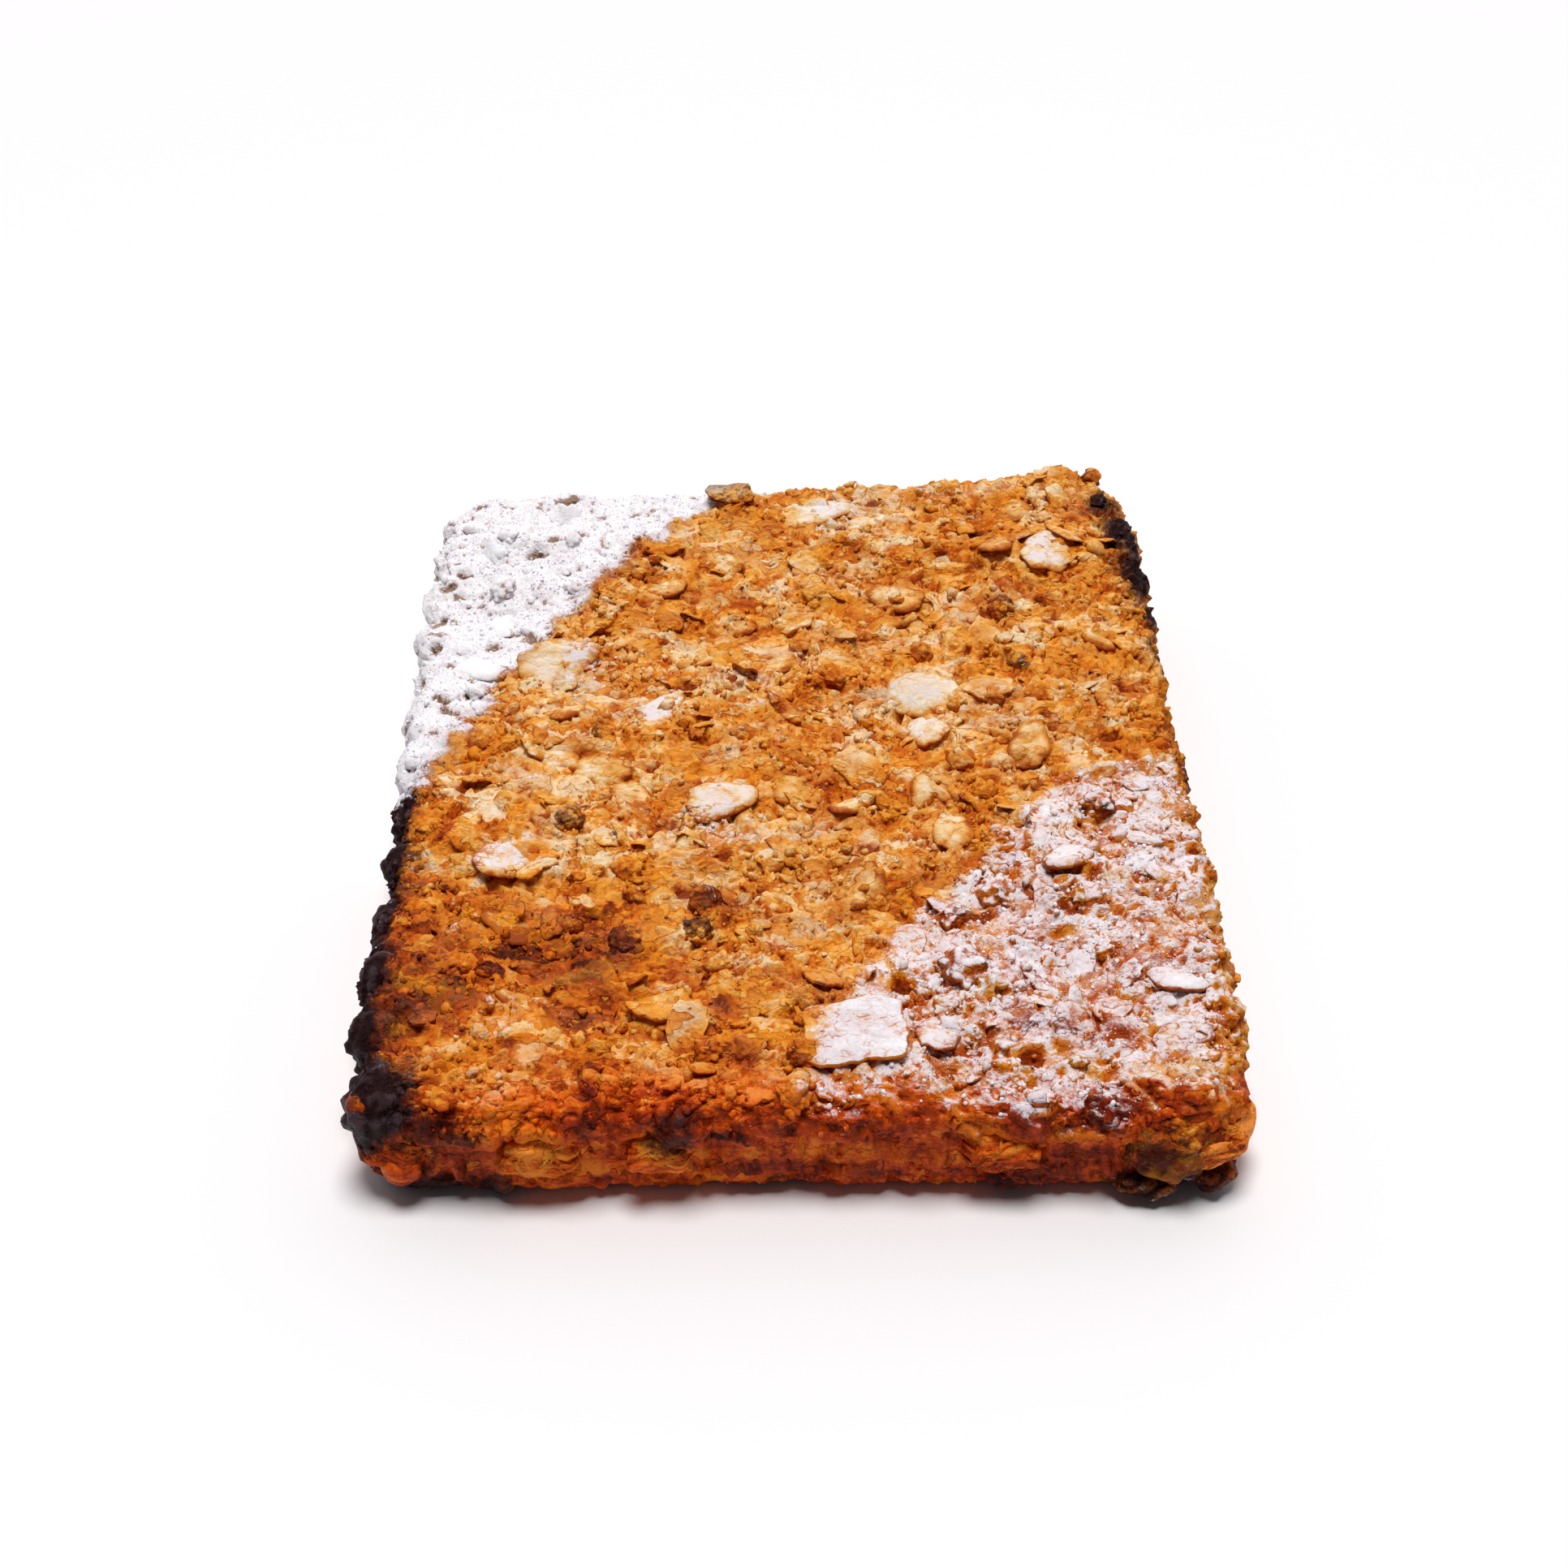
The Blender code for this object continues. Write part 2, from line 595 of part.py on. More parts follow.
def fuse(base, pieces):
    """Joins the pieces to the base by one Boolean union and removes them."""
    group = bpy.data.collections.new("toppings")
    bpy.context.scene.collection.children.link(group)
    for piece in pieces:
        bpy.context.scene.collection.objects.unlink(piece)
        group.objects.link(piece)
    union = base.modifiers.new("toppings", "BOOLEAN")
    union.operation = "UNION"
    union.operand_type = "COLLECTION"
    union.collection = group
    union.solver = "EXACT"
    apply_modifiers(base)
    for piece in pieces:
        bpy.data.objects.remove(piece)
    bpy.data.collections.remove(group)


def cut_away(base, cutter):
    """Takes the cutter's room out of the base and removes the cutter."""
    cut = base.modifiers.new("room", "BOOLEAN")
    cut.operation = "DIFFERENCE"
    cut.object = cutter
    cut.solver = "EXACT"
    apply_modifiers(base)
    bpy.data.objects.remove(cutter)


def keep_main_shell(obj):
    """Keeps the widest closed surface, so that sealed hollows are filled and loose scraps go."""
    bm = bmesh.new()
    bm.from_mesh(obj.data)
    bm.faces.ensure_lookup_table()
    unseen = set(range(len(bm.faces)))
    shells = []
    while unseen:
        front = [min(unseen)]
        shell = set(front)
        unseen.discard(front[0])
        while front:
            edges = {e for k in front for e in bm.faces[k].edges if len(e.link_faces) == 2}
            near = {face.index for e in edges for face in e.link_faces}
            front = sorted(near & unseen)
            unseen.difference_update(front)
            shell.update(front)
        shells.append(shell)
    main_shell = max(shells, key=len)
    scraps = [face for face in bm.faces if face.index not in main_shell]
    bmesh.ops.delete(bm, geom=scraps, context="FACES")
    bm.to_mesh(obj.data)
    bm.free()


def material(name, colour, roughness):
    """A plain shaded material."""
    made = bpy.data.materials.new(name)
    made.use_nodes = True
    shader = made.node_tree.nodes["Principled BSDF"]
    shader.inputs["Base Color"].default_value = (*colour, 1)
    shader.inputs["Roughness"].default_value = roughness
    shader.inputs["Metallic"].default_value = 0.0
    return made


def dress(obj, made):
    """Gives the object its one material."""
    obj.data.materials.clear()
    obj.data.materials.append(made)
    for face in obj.data.polygons:
        face.material_index = 0


def clear_scene():
    """Empties the scene of whatever it holds."""
    for obj in list(bpy.data.objects):
        bpy.data.objects.remove(obj)


def main():
    clear_scene()
    rng = random.Random(SHAPE_SEED)
    pastry = pastry_slab()
    fuse(pastry, toppings(rng) + edge_flakes(rng) + rim_knobs(rng))
    cut_away(pastry, filling_layer("filling_room", FITTING_GAP))
    keep_main_shell(pastry)
    dress(pastry, material("baked_crust", *BAKED_CRUST))
    filling = filling_layer("filling", 0.0)
    dress(filling, material("candied_squash", *CANDIED_SQUASH))
    print("triangles", sum(len(p.vertices) - 2 for o in (pastry, filling) for p in o.data.polygons))


main()
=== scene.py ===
import math
import random

import bmesh
import bpy
import numpy as np
from mathutils import Matrix, Vector, noise


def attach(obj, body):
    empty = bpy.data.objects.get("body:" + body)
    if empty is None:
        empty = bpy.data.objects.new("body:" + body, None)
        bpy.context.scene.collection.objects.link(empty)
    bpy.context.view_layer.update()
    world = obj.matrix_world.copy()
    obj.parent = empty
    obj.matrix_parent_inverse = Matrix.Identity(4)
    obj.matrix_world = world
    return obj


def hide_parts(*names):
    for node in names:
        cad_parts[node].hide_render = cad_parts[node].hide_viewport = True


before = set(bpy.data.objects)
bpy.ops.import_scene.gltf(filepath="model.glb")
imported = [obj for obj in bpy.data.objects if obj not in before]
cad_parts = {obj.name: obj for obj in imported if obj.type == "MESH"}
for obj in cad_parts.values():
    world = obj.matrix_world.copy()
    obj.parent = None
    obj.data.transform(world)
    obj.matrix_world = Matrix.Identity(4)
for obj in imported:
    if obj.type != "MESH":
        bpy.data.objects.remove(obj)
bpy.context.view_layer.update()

# The looks of an angel hair coca: a crumbly baked crust with almond slices, burnt knobs along the left rim,
# icing sugar on two corners and candied squash that shows at the front. Metres, +Z up, as in the solids.

# Driving dimensions of the packet, as in the solids.
WIDTH = 0.151
LENGTH = 0.190
THICKNESS = 0.0222
SEAM_HEIGHT = 0.0115
HALF_WIDTH = WIDTH / 2
HALF_LENGTH = LENGTH / 2
SHOULDER = 0.0068
UNDERCUT = 0.0056
SEAM_GROOVE = 0.0013
SEAM_HALF_GAP = 0.0011
SEAM_SPREAD = 4
CORNER_RADII = {(-1, -1): 0.012, (1, -1): 0.013, (-1, 1): 0.016, (1, 1): 0.027}
CORNER_SHARPNESS = 8
LEAST_CORNER_RADIUS = 0.002
ARC_PULL = 1 - math.sqrt(0.5)
LEFT_WAIST = (-0.030, 0.020, 0.0016)
RIGHT_WAIST = (0.028, 0.046, 0.0020)
FRONT_WAIST = (-0.005, 0.050, 0.0013)
WAIST_FADE = 4
CELLS_ACROSS = 30
CELLS_ALONG = 39
CELLS_PER_LOBE = 3
UPPER_RINGS = 3
LOWER_RINGS = 3
NOTCH_DEPTH = 0.0016
LEFT_NOTCH_EXTRA = 0.0013
LOBE_SWELL = {"left": 0.0029, "right": 0.0023, "far": 0.0018, "front": 0.0015}
LOBE_RISE = 0.0009
LOBE_ROUNDNESS = 0.6
LOBE_VARIETY = (0.75, 0.45)
LOBE_SEED_STEP = 3.7
SEAM_LOBE_WEIGHT = 0.7
UNDERSIDE_LOBE_WEIGHT = 0.8
RELIEF = ((0.046, 0.0026, 1.3), (0.019, 0.0022, 5.7), (0.0085, 0.0024, 9.1))
FAR_CORNER_TILT = 0.0042
GRID_STRAY = 0.0011
CRAG_HEIGHT = 0.0007

# The candied squash layer, as in the solids.
FILLING_BASE = 0.0062
FILLING_TOP = 0.0140
FILLING_INSET = 0.0110
FILLING_ROUNDING = 0.0022
FILLING_THIN_SHARE = 0.45
FILLING_SHOWS = ((-0.043, 0.0080, 0.0009), (-0.0235, 0.0065, 0.0009), (0.0330, 0.0080, 0.0007))
FILLING_CORNERS = ((1, 0.018, 0.0016), (-1, 0.016, 0.0006))

# The toppings and their places, as in the solids.
ALMOND_COUNT = 42
ALMOND_SPACING = 0.0105
ALMOND_THICKNESS = 0.0013
ALMOND_TAPER = 0.28
ALMOND_BOW = 0.0008
ALMOND_LENGTHS = (0.009, 0.013)
ALMOND_WIDTH_SHARES = (0.50, 0.70)
ALMOND_LEANS = (0.08, 0.15, 0.25, 0.35)
ALMOND_SINK_SHARE = 0.12
LARGE_ALMOND_WIDTH_SHARE = 0.62
LARGE_ALMOND_LEAN = 0.10
LARGE_ALMOND_RISE = 0.0002
LUMP_COUNT = 60
LUMP_SPACING = 0.0058
LUMP_RADII = (0.0014, 0.0026)
LUMP_FLATNESS = 0.8
LUMP_STRETCH = 1.2
LARGE_LUMP_SINK_SHARE = 0.1
SHARD_COUNT = 12
SHARD_SPACING = 0.0075
SHARD_LENGTHS = (0.006, 0.010)
SHARD_WIDTH_SHARE = 0.7
SHARD_THICKNESS = 0.0012
SHARD_RISE = 0.0004
SHARD_LEANS = (0.15, 0.35)
TOPPING_MARGIN = 0.009
CRAG_SEED = 41
ALMOND_SEED = 7
LUMP_SEED = 12
SHARD_SEED = 23
LARGE_ALMONDS = (
    (0.026, 0.017, 0.016, 10), (0.053, 0.059, 0.016, 70), (0.005, 0.081, 0.018, 5),
    (-0.046, 0.029, 0.017, 20), (-0.052, -0.031, 0.014, 60), (-0.013, -0.019, 0.014, 15),
    (0.028, -0.024, 0.012, 100), (0.025, 0.006, 0.012, 120), (-0.026, 0.013, 0.013, 40),
    (0.021, 0.048, 0.013, 150), (-0.056, -0.016, 0.012, 80), (-0.036, -0.006, 0.012, 160),
    (0.001, -0.012, 0.013, 35), (0.044, -0.002, 0.012, 75),
)
LARGE_LUMPS = (
    (0.035, 0.0215, 0.0042), (0.031, -0.004, 0.0032), (-0.016, -0.043, 0.0034), (-0.017, -0.051, 0.003),
    (-0.014, -0.06, 0.0032), (-0.03, -0.053, 0.0034), (-0.03, -0.035, 0.0032), (-0.041, -0.022, 0.003),
    (0.055, -0.02, 0.0034), (0.035, -0.042, 0.0034), (0.028, -0.063, 0.005), (0.042, 0.042, 0.003),
)
FLAKE_PLACE = (0.0087, -0.0785)
FLAKE_SIZE = (0.0160, 0.0130)
FLAKE_THICKNESS = 0.0014
FLAKE_RISE = 0.0008
FLAKE_LEAN = 0.05
FAR_FLAKE_PLACE = (-0.012, 0.0855)
FAR_FLAKE_SIZE = (0.0105, 0.0060)
FAR_FLAKE_RISE = 0.0006
FAR_FLAKE_LEAN = 0.10
LEFT_KNOBS = 6
LEFT_KNOB_RADII = (0.0056, 0.0058, 0.0062)
KNOB_INSET = 0.0050
KNOB_DROP = 0.0050
KNOB_FADE = 0.07
CORNER_KNOB = ((-0.0685, -0.0865, 0.0150), (0.0068, 0.0066, 0.0082))
FRONT_KNOBS = (
    ((-0.0195, -0.0905, 0.0150), (0.0052, 0.0040, 0.0050)),
    ((0.0365, -0.0900, 0.0150), (0.0065, 0.0042, 0.0055)),
    ((0.0500, -0.0895, 0.0155), (0.0050, 0.0040, 0.0048)),
    ((0.0605, -0.0900, 0.0105), (0.0088, 0.0062, 0.0085)),
    ((0.0575, -0.0915, 0.0032), (0.0062, 0.0046, 0.0026)),
    ((0.0675, -0.0900, 0.0032), (0.0052, 0.0046, 0.0026)),
    ((-0.0610, -0.0885, 0.0034), (0.0085, 0.0042, 0.0028)),
)
FIBROUS_KNOBS = (3, 4, 5)
BEADS = (
    ((-0.0655, -0.0925, 0.0075), (0.0034, 0.0024, 0.0032)),
    ((-0.0715, -0.0885, 0.0180), (0.0028, 0.0030, 0.0030)),
)

# How finely the crust is cut: fine cells along each cell of the solids' grid, and rows down the side.
REFINE = 7
UPPER_STEPS = 14
SEAM_STEPS = 3
LOWER_STEPS = 8
BASE_SHARES = (0.93, 0.75, 0.4)

# The fine relief of the crust: sizes of its broken plates, clods, crumbs and pits, and how high each stands.
PLATE_SIZE = 0.0078
PLATE_TILT = 0.0012
PLATE_STEP = 0.0004
PLATE_CRACK = 0.0003
TORN_SIZE = 0.0095
TORN_LEVELS = 2.7
TORN_HEIGHT = 0.0018
TORN_STRETCH = 2.0
TORN_OCTAVES = ((1.0, 1.0), (2.3, 0.5), (5.1, 0.3))
TORN_PATCH = 0.010
CLOD_SIZE = 0.0037
CLOD_HEIGHT = 0.0009
CRUMB_SIZE = 0.0018
CRUMB_HEIGHT = 0.00045
GRAIN_SIZE = 0.0010
GRAIN_HEIGHT = 0.00030
PIT_SIZE = 0.0058
PIT_DEPTH = 0.0017
LAYER_LENGTH = 0.016
LAYER_SIZE = 0.0017
LAYER_HEIGHT = 0.00055
EDGE_STRAY = 0.0012
EDGE_STRAY_SIZE = 0.0042
LUMPY_SIZE = 0.014
WINDOW_DEPTH = 0.0026
GROUNDED_BELOW = 0.0025
NOISE_SEED = 1

# Borders of the two sugared corners: pairs of y and x. How far they stray, and how dense the sugar is.
FAR_BORDER = (
    (-0.016, -0.0735), (0.0, -0.064), (0.03, -0.053), (0.055, -0.0385), (0.08, -0.021), (0.096, 0.004),
)
NEAR_BORDER = (
    (-0.096, -0.009), (-0.08, -0.0015), (-0.066, 0.005), (-0.05, 0.0125), (-0.037, 0.024), (-0.022, 0.036),
    (-0.008, 0.047), (-0.003, 0.061), (0.003, 0.074), (0.01, 0.09),
)
BORDER_STRAY = 0.004
BORDER_STRAY_SIZE = 0.006
FAR_SUGAR = 1.12
NEAR_SUGAR = 0.640
STRAY_SUGAR = 0.18

# How much darker the steep faces of the crust are painted (painted shade), and how glazed its front is.
STEEP_PAINTED_SHADE = 0.30
FRONT_GLAZE = 0.85

# How burnt the left knobs, the rim between them and the edge under the front are.
KNOB_CHAR_RADIUS = 0.0052
KNOB_CHAR_SHIFT = 0.0016
KNOB_CHAR = 1.25
RIM_CHAR = 0.42
BOTTOM_CHAR = 0.32


def spots(rows):
    """The rows x, y, z, radius in tenths of a millimetre and strength, with their lengths in metres."""
    return [(*(value / 10000 for value in row[:-1]), row[-1]) for row in rows]


# Spots on the crust. Tone above 0 is paler, below 0 darker.
TONE_SPOTS = spots((
    (-260, 160, 230, 120, 0.30), (-480, -80, 230, 80, 0.35), (-550, -300, 230, 100, 0.28),
    (-240, -730, 240, 80, 0.40), (-480, -730, 240, 90, 0.32), (200, 710, 240, 70, 0.35),
    (100, 800, 240, 110, 0.35), (250, 80, 240, 90, 0.25), (-150, -250, 230, 110, 0.28),
    (-400, 280, 230, 100, 0.22), (450, 30, 230, 140, 0.22), (-480, -550, 230, 220, -0.58),
    (-660, -600, 200, 140, -0.40), (-300, -620, 220, 140, -0.20), (-420, -800, 220, 180, -0.18),
    (100, 620, 240, 200, -0.08), (660, 500, 240, 160, -0.06), (720, 100, 180, 220, -0.15),
    (-100, -940, 120, 600, -0.12), (550, -940, 100, 250, -0.10), (365, -925, 205, 62, -0.80),
    (500, -920, 205, 56, -0.80), (450, -600, 230, 300, -0.26), (-675, -750, 210, 90, -0.45),
    (-680, -430, 210, 90, -0.45), (-690, -200, 210, 80, -0.40), (-209, -915, 195, 55, -0.70),
    (-336, -915, 185, 50, -0.60), (-572, -915, 190, 65, -0.45), (-120, -950, 150, 50, -0.45),
    (450, -950, 65, 70, -0.45), (-502, -925, 195, 60, 0.55), (-441, -945, 150, 50, 0.70),
    (-461, -950, 80, 50, 0.35), (-234, -945, 130, 45, 0.70), (317, -945, 150, 60, 0.55),
    (393, -930, 195, 45, 0.50), (162, -945, 85, 45, 0.40), (653, -900, 200, 60, 0.60),
))
CHAR_SPOTS = spots((
    (660, 760, 250, 50, 0.50), (695, 670, 245, 56, 0.84), (718, 560, 230, 56, 0.90),
    (738, 460, 205, 52, 0.60), (748, 330, 160, 60, 0.50), (758, -20, 160, 60, 0.45),
    (-710, -890, 195, 72, 1.25), (-570, -940, 140, 80, 0.38), (-700, -900, 0, 70, 0.60),
    (-600, -930, 0, 55, 0.80), (-500, -930, 0, 50, 0.65), (-205, -930, 160, 48, 0.55),
    (-50, -900, 0, 50, 0.35), (365, -930, 180, 62, 0.30), (500, -930, 180, 54, 0.30),
    (560, -930, 10, 60, 0.75), (680, -920, 10, 60, 0.70), (-300, -540, 230, 40, 0.30),
    (-160, -480, 230, 70, 0.25),
))
GLAZE_SPOTS = spots((
    (735, -880, 150, 75, 0.90), (515, -950, 160, 45, 0.80), (-450, -960, 90, 170, 0.95),
    (-150, -960, 90, 190, 0.95), (150, -960, 80, 170, 0.90), (430, -960, 80, 150, 0.75),
    (-740, -840, 80, 130, 0.80), (-760, -500, 80, 200, 0.45),
))
SUGAR_SPOTS = spots((
    (10, -950, 155, 35, 0.55), (70, -950, 150, 30, 0.45), (135, -940, 80, 32, 0.50),
    (-230, -920, 30, 25, 0.45), (-205, -955, 150, 14, 0.45), (365, -935, 200, 50, 0.36),
    (500, -930, 200, 45, 0.34), (600, -965, 110, 60, 0.34), (110, 800, 250, 80, 0.42),
    (-400, 290, 235, 70, 0.40), (500, 590, 260, 60, 0.30), (-680, -880, 240, 40, 0.18),
    (-550, -300, 230, 70, 0.26), (-480, -80, 230, 70, 0.24), (-140, -250, 230, 110, 0.28),
    (-260, 140, 230, 100, 0.22), (-80, 130, 230, 80, 0.20), (250, 80, 240, 80, 0.22),
    (-480, -700, 240, 70, 0.22), (450, 200, 240, 120, 0.16),
))

# The looks of the toppings: how many slices are pale, how each kind is bent, broken and toasted.
SHAPE_SEEDS = {"almonds": 3, "lumps": 4, "strands": 6, "scattered": 11}
PALE_ALMONDS = 9
ALMOND_BEDDING = 0.0004
ALMOND_SIDES = 26
ALMOND_RINGS = (0.35, 0.62, 0.82, 0.95, 1.0)
ALMOND_ROUGHNESS = 0.20
ALMOND_TWIST = 14
ALMOND_SINK = -0.0001
LARGE_LUMP_RADIUS = 0.0029
KNOB_CLOD = 0.0027
FIBRE_SIZES = (0.0050, 0.0009)
FIBRE_RELIEF = 0.13
FLAKE_RINGS = (0.2, 0.4, 0.58, 0.74, 0.88, 0.97, 1.0)
FLAKE_CURL = 0.0009
FLAKE_SIDES = (72, 32, 28)
SQUARISH = (8, 0.125)
ROUNDISH = (4, 0.14)
SCALE_SIDES = 22
SCALE_RINGS = (0.36, 0.66, 0.90, 1.0)
SCALE_LEAN = 0.17
SCALE_THICKNESSES = (0.0003, 0.0006)
LOWEST_POINT = 0.0001

# How many small pieces lie on the crust, their sizes, and how high they may be laid.
HIGHEST_PLACE = 0.0286
CRUMBS = 380
CRUMB_RADII = (0.0008, 0.0016)
FINE_CRUMBS = 3400
FINE_CRUMB_RADII = (0.00030, 0.00085)
SCALES = 480
SCALE_LENGTHS = (0.0026, 0.0080)
SUGAR_CLUMPS = 700
SUGAR_CLUMP_RADII = (0.0002, 0.00045)
SUGAR_GRAINS = 14000
SUGAR_GRAIN_RADII = (0.00009, 0.00020)
OCTAHEDRON_POINTS = np.array([(1, 0, 0), (-1, 0, 0), (0, 1, 0), (0, -1, 0), (0, 0, 1), (0, 0, -1)], float)
OCTAHEDRON_FACES = np.array(
    [(0, 2, 4), (2, 1, 4), (1, 3, 4), (3, 0, 4), (2, 0, 5), (1, 2, 5), (3, 1, 5), (0, 3, 5)]
)

# The squash layer's rim and the loose strands of squash before it.
FILLING_ALONG = 330
FILLING_LEVELS = 34
FILLING_RELIEF = 0.0009
STRANDS = 150
STRAND_STEPS = 14
STRAND_SIDES = 7
STRAND_RADII = (0.00022, 0.00048)
CORNER_WINDOWS = [(0.93, 0.06), (0.93, 0.06), (0.93, 0.06), (-0.93, 0.06)]
HIGHEST_LEVEL = 0.85

# Colours of the baked materials, from dark to pale.
BAKED_STOPS = (
    (0.00, "4A1405"), (0.18, "8A3006"), (0.33, "C85A06"), (0.47, "DC7A16"), (0.62, "E8962E"),
    (0.78, "F2B45E"), (1.00, "F8DCB0"),
)
ALMOND_STOPS = (
    (0.00, "9A420A"), (0.24, "C66E1E"), (0.46, "DE9E4A"), (0.70, "EEC68A"), (1.00, "F8E8D2"),
)
SQUASH_STOPS = (
    (0.05, "701A02"), (0.28, "B43C04"), (0.50, "DE540A"), (0.72, "F06E14"), (1.00, "FF9630"),
)
GLAZED_STOPS = (
    (0.08, "3C0A04"), (0.28, "741A04"), (0.46, "A43206"), (0.62, "C64208"), (0.82, "E05C0A"),
    (1.00, "F07E1A"),
)
# Sugar from the grey-blue of painted shade to white.
SUGAR_STOPS = ((0.2, "C9BFCC"), (0.55, "F0EDF3"), (0.9, "FBFAFC"))

# The noise of the baked materials: whether it is drawn out across the packet, size, detail and roughness.
DRAWN_OUT = (0.62, 1.0, 1.0)
NOISES = {
    "broad": (True, 0.015, 2, 0.6),
    "patch": (True, 0.0042, 4, 0.6),
    "tint": (True, 0.0070, 3, 0.6),
    "amber": (False, 0.011, 3, 0.6),
    "fine": (False, 0.0011, 4, 0.65),
    "dust": (False, 0.00042, 2, 0.7),
}
TORN_LOOK = (0.0110, 10.0)
CRUMB_LOOK = 0.0013

# How much each value counts where values are added up. What "plus" gives is added as it is.
# In SHADE and GLAZED_SHADE, open and crumb paint crowns and the tops of crumbs lighter, and foot paints the
# foot of each torn layer darker: painted light and shade.
SHADE = dict(
    tone=0.60, broad=0.30, patch=0.50, fine=0.42, crumb=0.12, open=0.30, own=1.25, foot=-0.26, plus=-0.98
)
GLAZED_SHADE = dict(
    broad=1.2, patch=1.2, fine=0.8, crumb=0.15, open=0.40, own=1.3, tone=0.50, foot=-0.25, plus=-1.79
)
BURNING = dict(char=1, patch=0.9, fine=1.0, plus=-0.95)
LYING = dict(
    sugar=1, broad=0.50, patch=0.85, fine=0.50, dust=0.55, crumb=0.12, open=0.40, foot=-0.20, plus=-1.47
)
MATTE = dict(fine=0.25, wet=-0.22, burnt=0.06)
LAP = dict(lap_edge=1, down=-0.8)
HEIGHT = dict(fine=0.65, dust=0.20, patch=0.5, crumb=0.28, white=0.12, lap=0.60)

# What is worked out from such sums, in this order: the sum, and where it gives 0 and where 1.
SHARES = {
    "foot": (dict(down=1, fine=0.2), 0.88, 1.05),
    "edge": (dict(down=1, fine=0.3), 0.40, 0.12),
    "pale": (dict(own=1, patch=0.5, fine=0.3, tone=0.25), 1.06, 1.28),
    "rosy": (dict(tint=1, fine=0.30), 0.62, 0.80),
    "wet": (dict(glaze=1, patch=0.6, plus=-0.3), 0.20, 0.70),
    # golden takes a little from edge, the lip of each torn layer: a painted highlight on the lips.
    "golden": (dict(amber=1, edge=0.10, wet=-1.0), 0.50, 0.66),
    # deep and hollow paint the cracks and hollows darker, deep with an orange glow: painted shade and a
    # painted glow.
    "deep": (dict(open=1, fine=0.4, crumb=0.15), 0.72, 0.35),
    "hollow": (dict(open=1), 0.20, 0.02),
    "scorched": (BURNING, 0.15, 0.42),
    "burnt": (BURNING, 0.40, 0.62),
    # This share paints a grey sheen on the crowns of burnt parts: a painted sheen.
    "coal_sheen": (dict(open=1, patch=0.8, fine=0.6), 1.20, 1.55),
    "white": (LYING, 0.34, 0.66),
    "thick": (LYING, 0.62, 1.05),
    "dusty": (dict(sugar=1), 0.35, 0.62),
    "lap_edge": (dict(down=1), 0.0, 0.10),
}

# The colours laid over the dough, from the lowest: how much of each, and the colour.
ROSY_SHARE = 0.6
PALE_COLOUR, ROSY_COLOUR, GOLDEN_COLOUR = "F5D6AA", "C47A4A", "F29C1C"
# The first two are painted shade with a painted orange glow in the cracks and hollows; the dusted and
# scorched colours are the dough's own.
BROWNING_AND_CRACK_SHADE = (
    (dict(deep=0.75, wet=-0.30), "C0500C"),
    (dict(hollow=0.75), "7E2606"),
    (dict(dusted=0.80), "A8937E"),
    (dict(scorched=0.85), "4A1206"),
)
# Coal, and the grey of the painted sheen on its crowns.
COAL_AND_SHEEN_COLOURS = ("220708", "665058")
POWDER_COLOURS = ("E6DEE4", "F8F5F8")
DUSTY_COLOUR = "D0BEBC"

# The camera, fitted to the photograph: place in metres, turns in degrees, lens and sensor in millimetres.
CAMERA_PLACE = (-0.00564, -0.388723, 0.326654)
CAMERA_PITCH = 38.885
CAMERA_YAW = 0.554
CAMERA_ROLL = -0.132
CAMERA_LENS = 60.32
CAMERA_SENSOR = 36.0

# The light and the floor.
DOME_STRENGTHS = (0.06, 0.85)
DOME_COLOUR = (0.965, 0.955, 1.0, 1)
DOME_SPAN = (-0.10, 0.75)
KEY_PLACE = (0.0, 0.0, 4.0)
KEY_SIZE = 1.8
KEY_POWER = 142.0
KEY_COLOUR = (1.0, 0.985, 0.97)
FLOOR_COLOUR = (0.905, 0.90, 0.915, 1)
FLOOR_ROUGHNESS = 0.6
FLOOR_REACH = 4.0
FLOOR_DROP = 0.0003


def srgb(code):
    """The linear colour of a six-digit colour code."""
    shares = [int(code[k : k + 2], 16) / 255 for k in (0, 2, 4)]
    return tuple(s / 12.92 if s <= 0.04045 else ((s + 0.055) / 1.055) ** 2.4 for s in shares) + (1.0,)


def smooth(value, low, high):
    """0 below low, 1 above high and a smooth rise between, for one value or an array."""
    share = np.clip((value - low) / (high - low), 0.0, 1.0)
    return share * share * (3 - 2 * share)


def rise(value, low, high):
    """smooth() for one plain number, which is quicker."""
    share = clipped((value - low) / (high - low))
    return share * share * (3 - 2 * share)


def clipped(value):
    """A number held between 0 and 1."""
    return min(1.0, max(0.0, value))


def noise_at(place, across, up=None):
    """Smooth noise from about -1 to 1 with features of this size, or of this size across and another up."""
    if up is None:
        return noise.noise(place / across)
    return noise.noise(Vector((place.x / across, place.y / across, place.z / up)))


def patchy(points, size):
    """Smooth random values at the points, from about -1 to 1, shared by neighbours nearer than this size."""
    return np.array([noise_at(Vector(point), size) for point in points])


# The form of the packet, worked out as in the solids.


def wave(x, y, size, seed):
    """A smooth random value from about -1 to 1, with features of this size."""
    return noise.noise(Vector((x / size, y / size, seed)))


def top_height(x, y):
    """Height of the top face over the base."""
    tilt = FAR_CORNER_TILT * (x / HALF_WIDTH) * max(0.0, y / HALF_LENGTH)
    return THICKNESS + tilt + sum(height * wave(x, y, size, seed) for size, height, seed in RELIEF)


def waist(place, middle, half_length, depth):
    """How far a side is drawn in at this place along it."""
    return depth * math.exp(-(((place - middle) / half_length) ** 2))


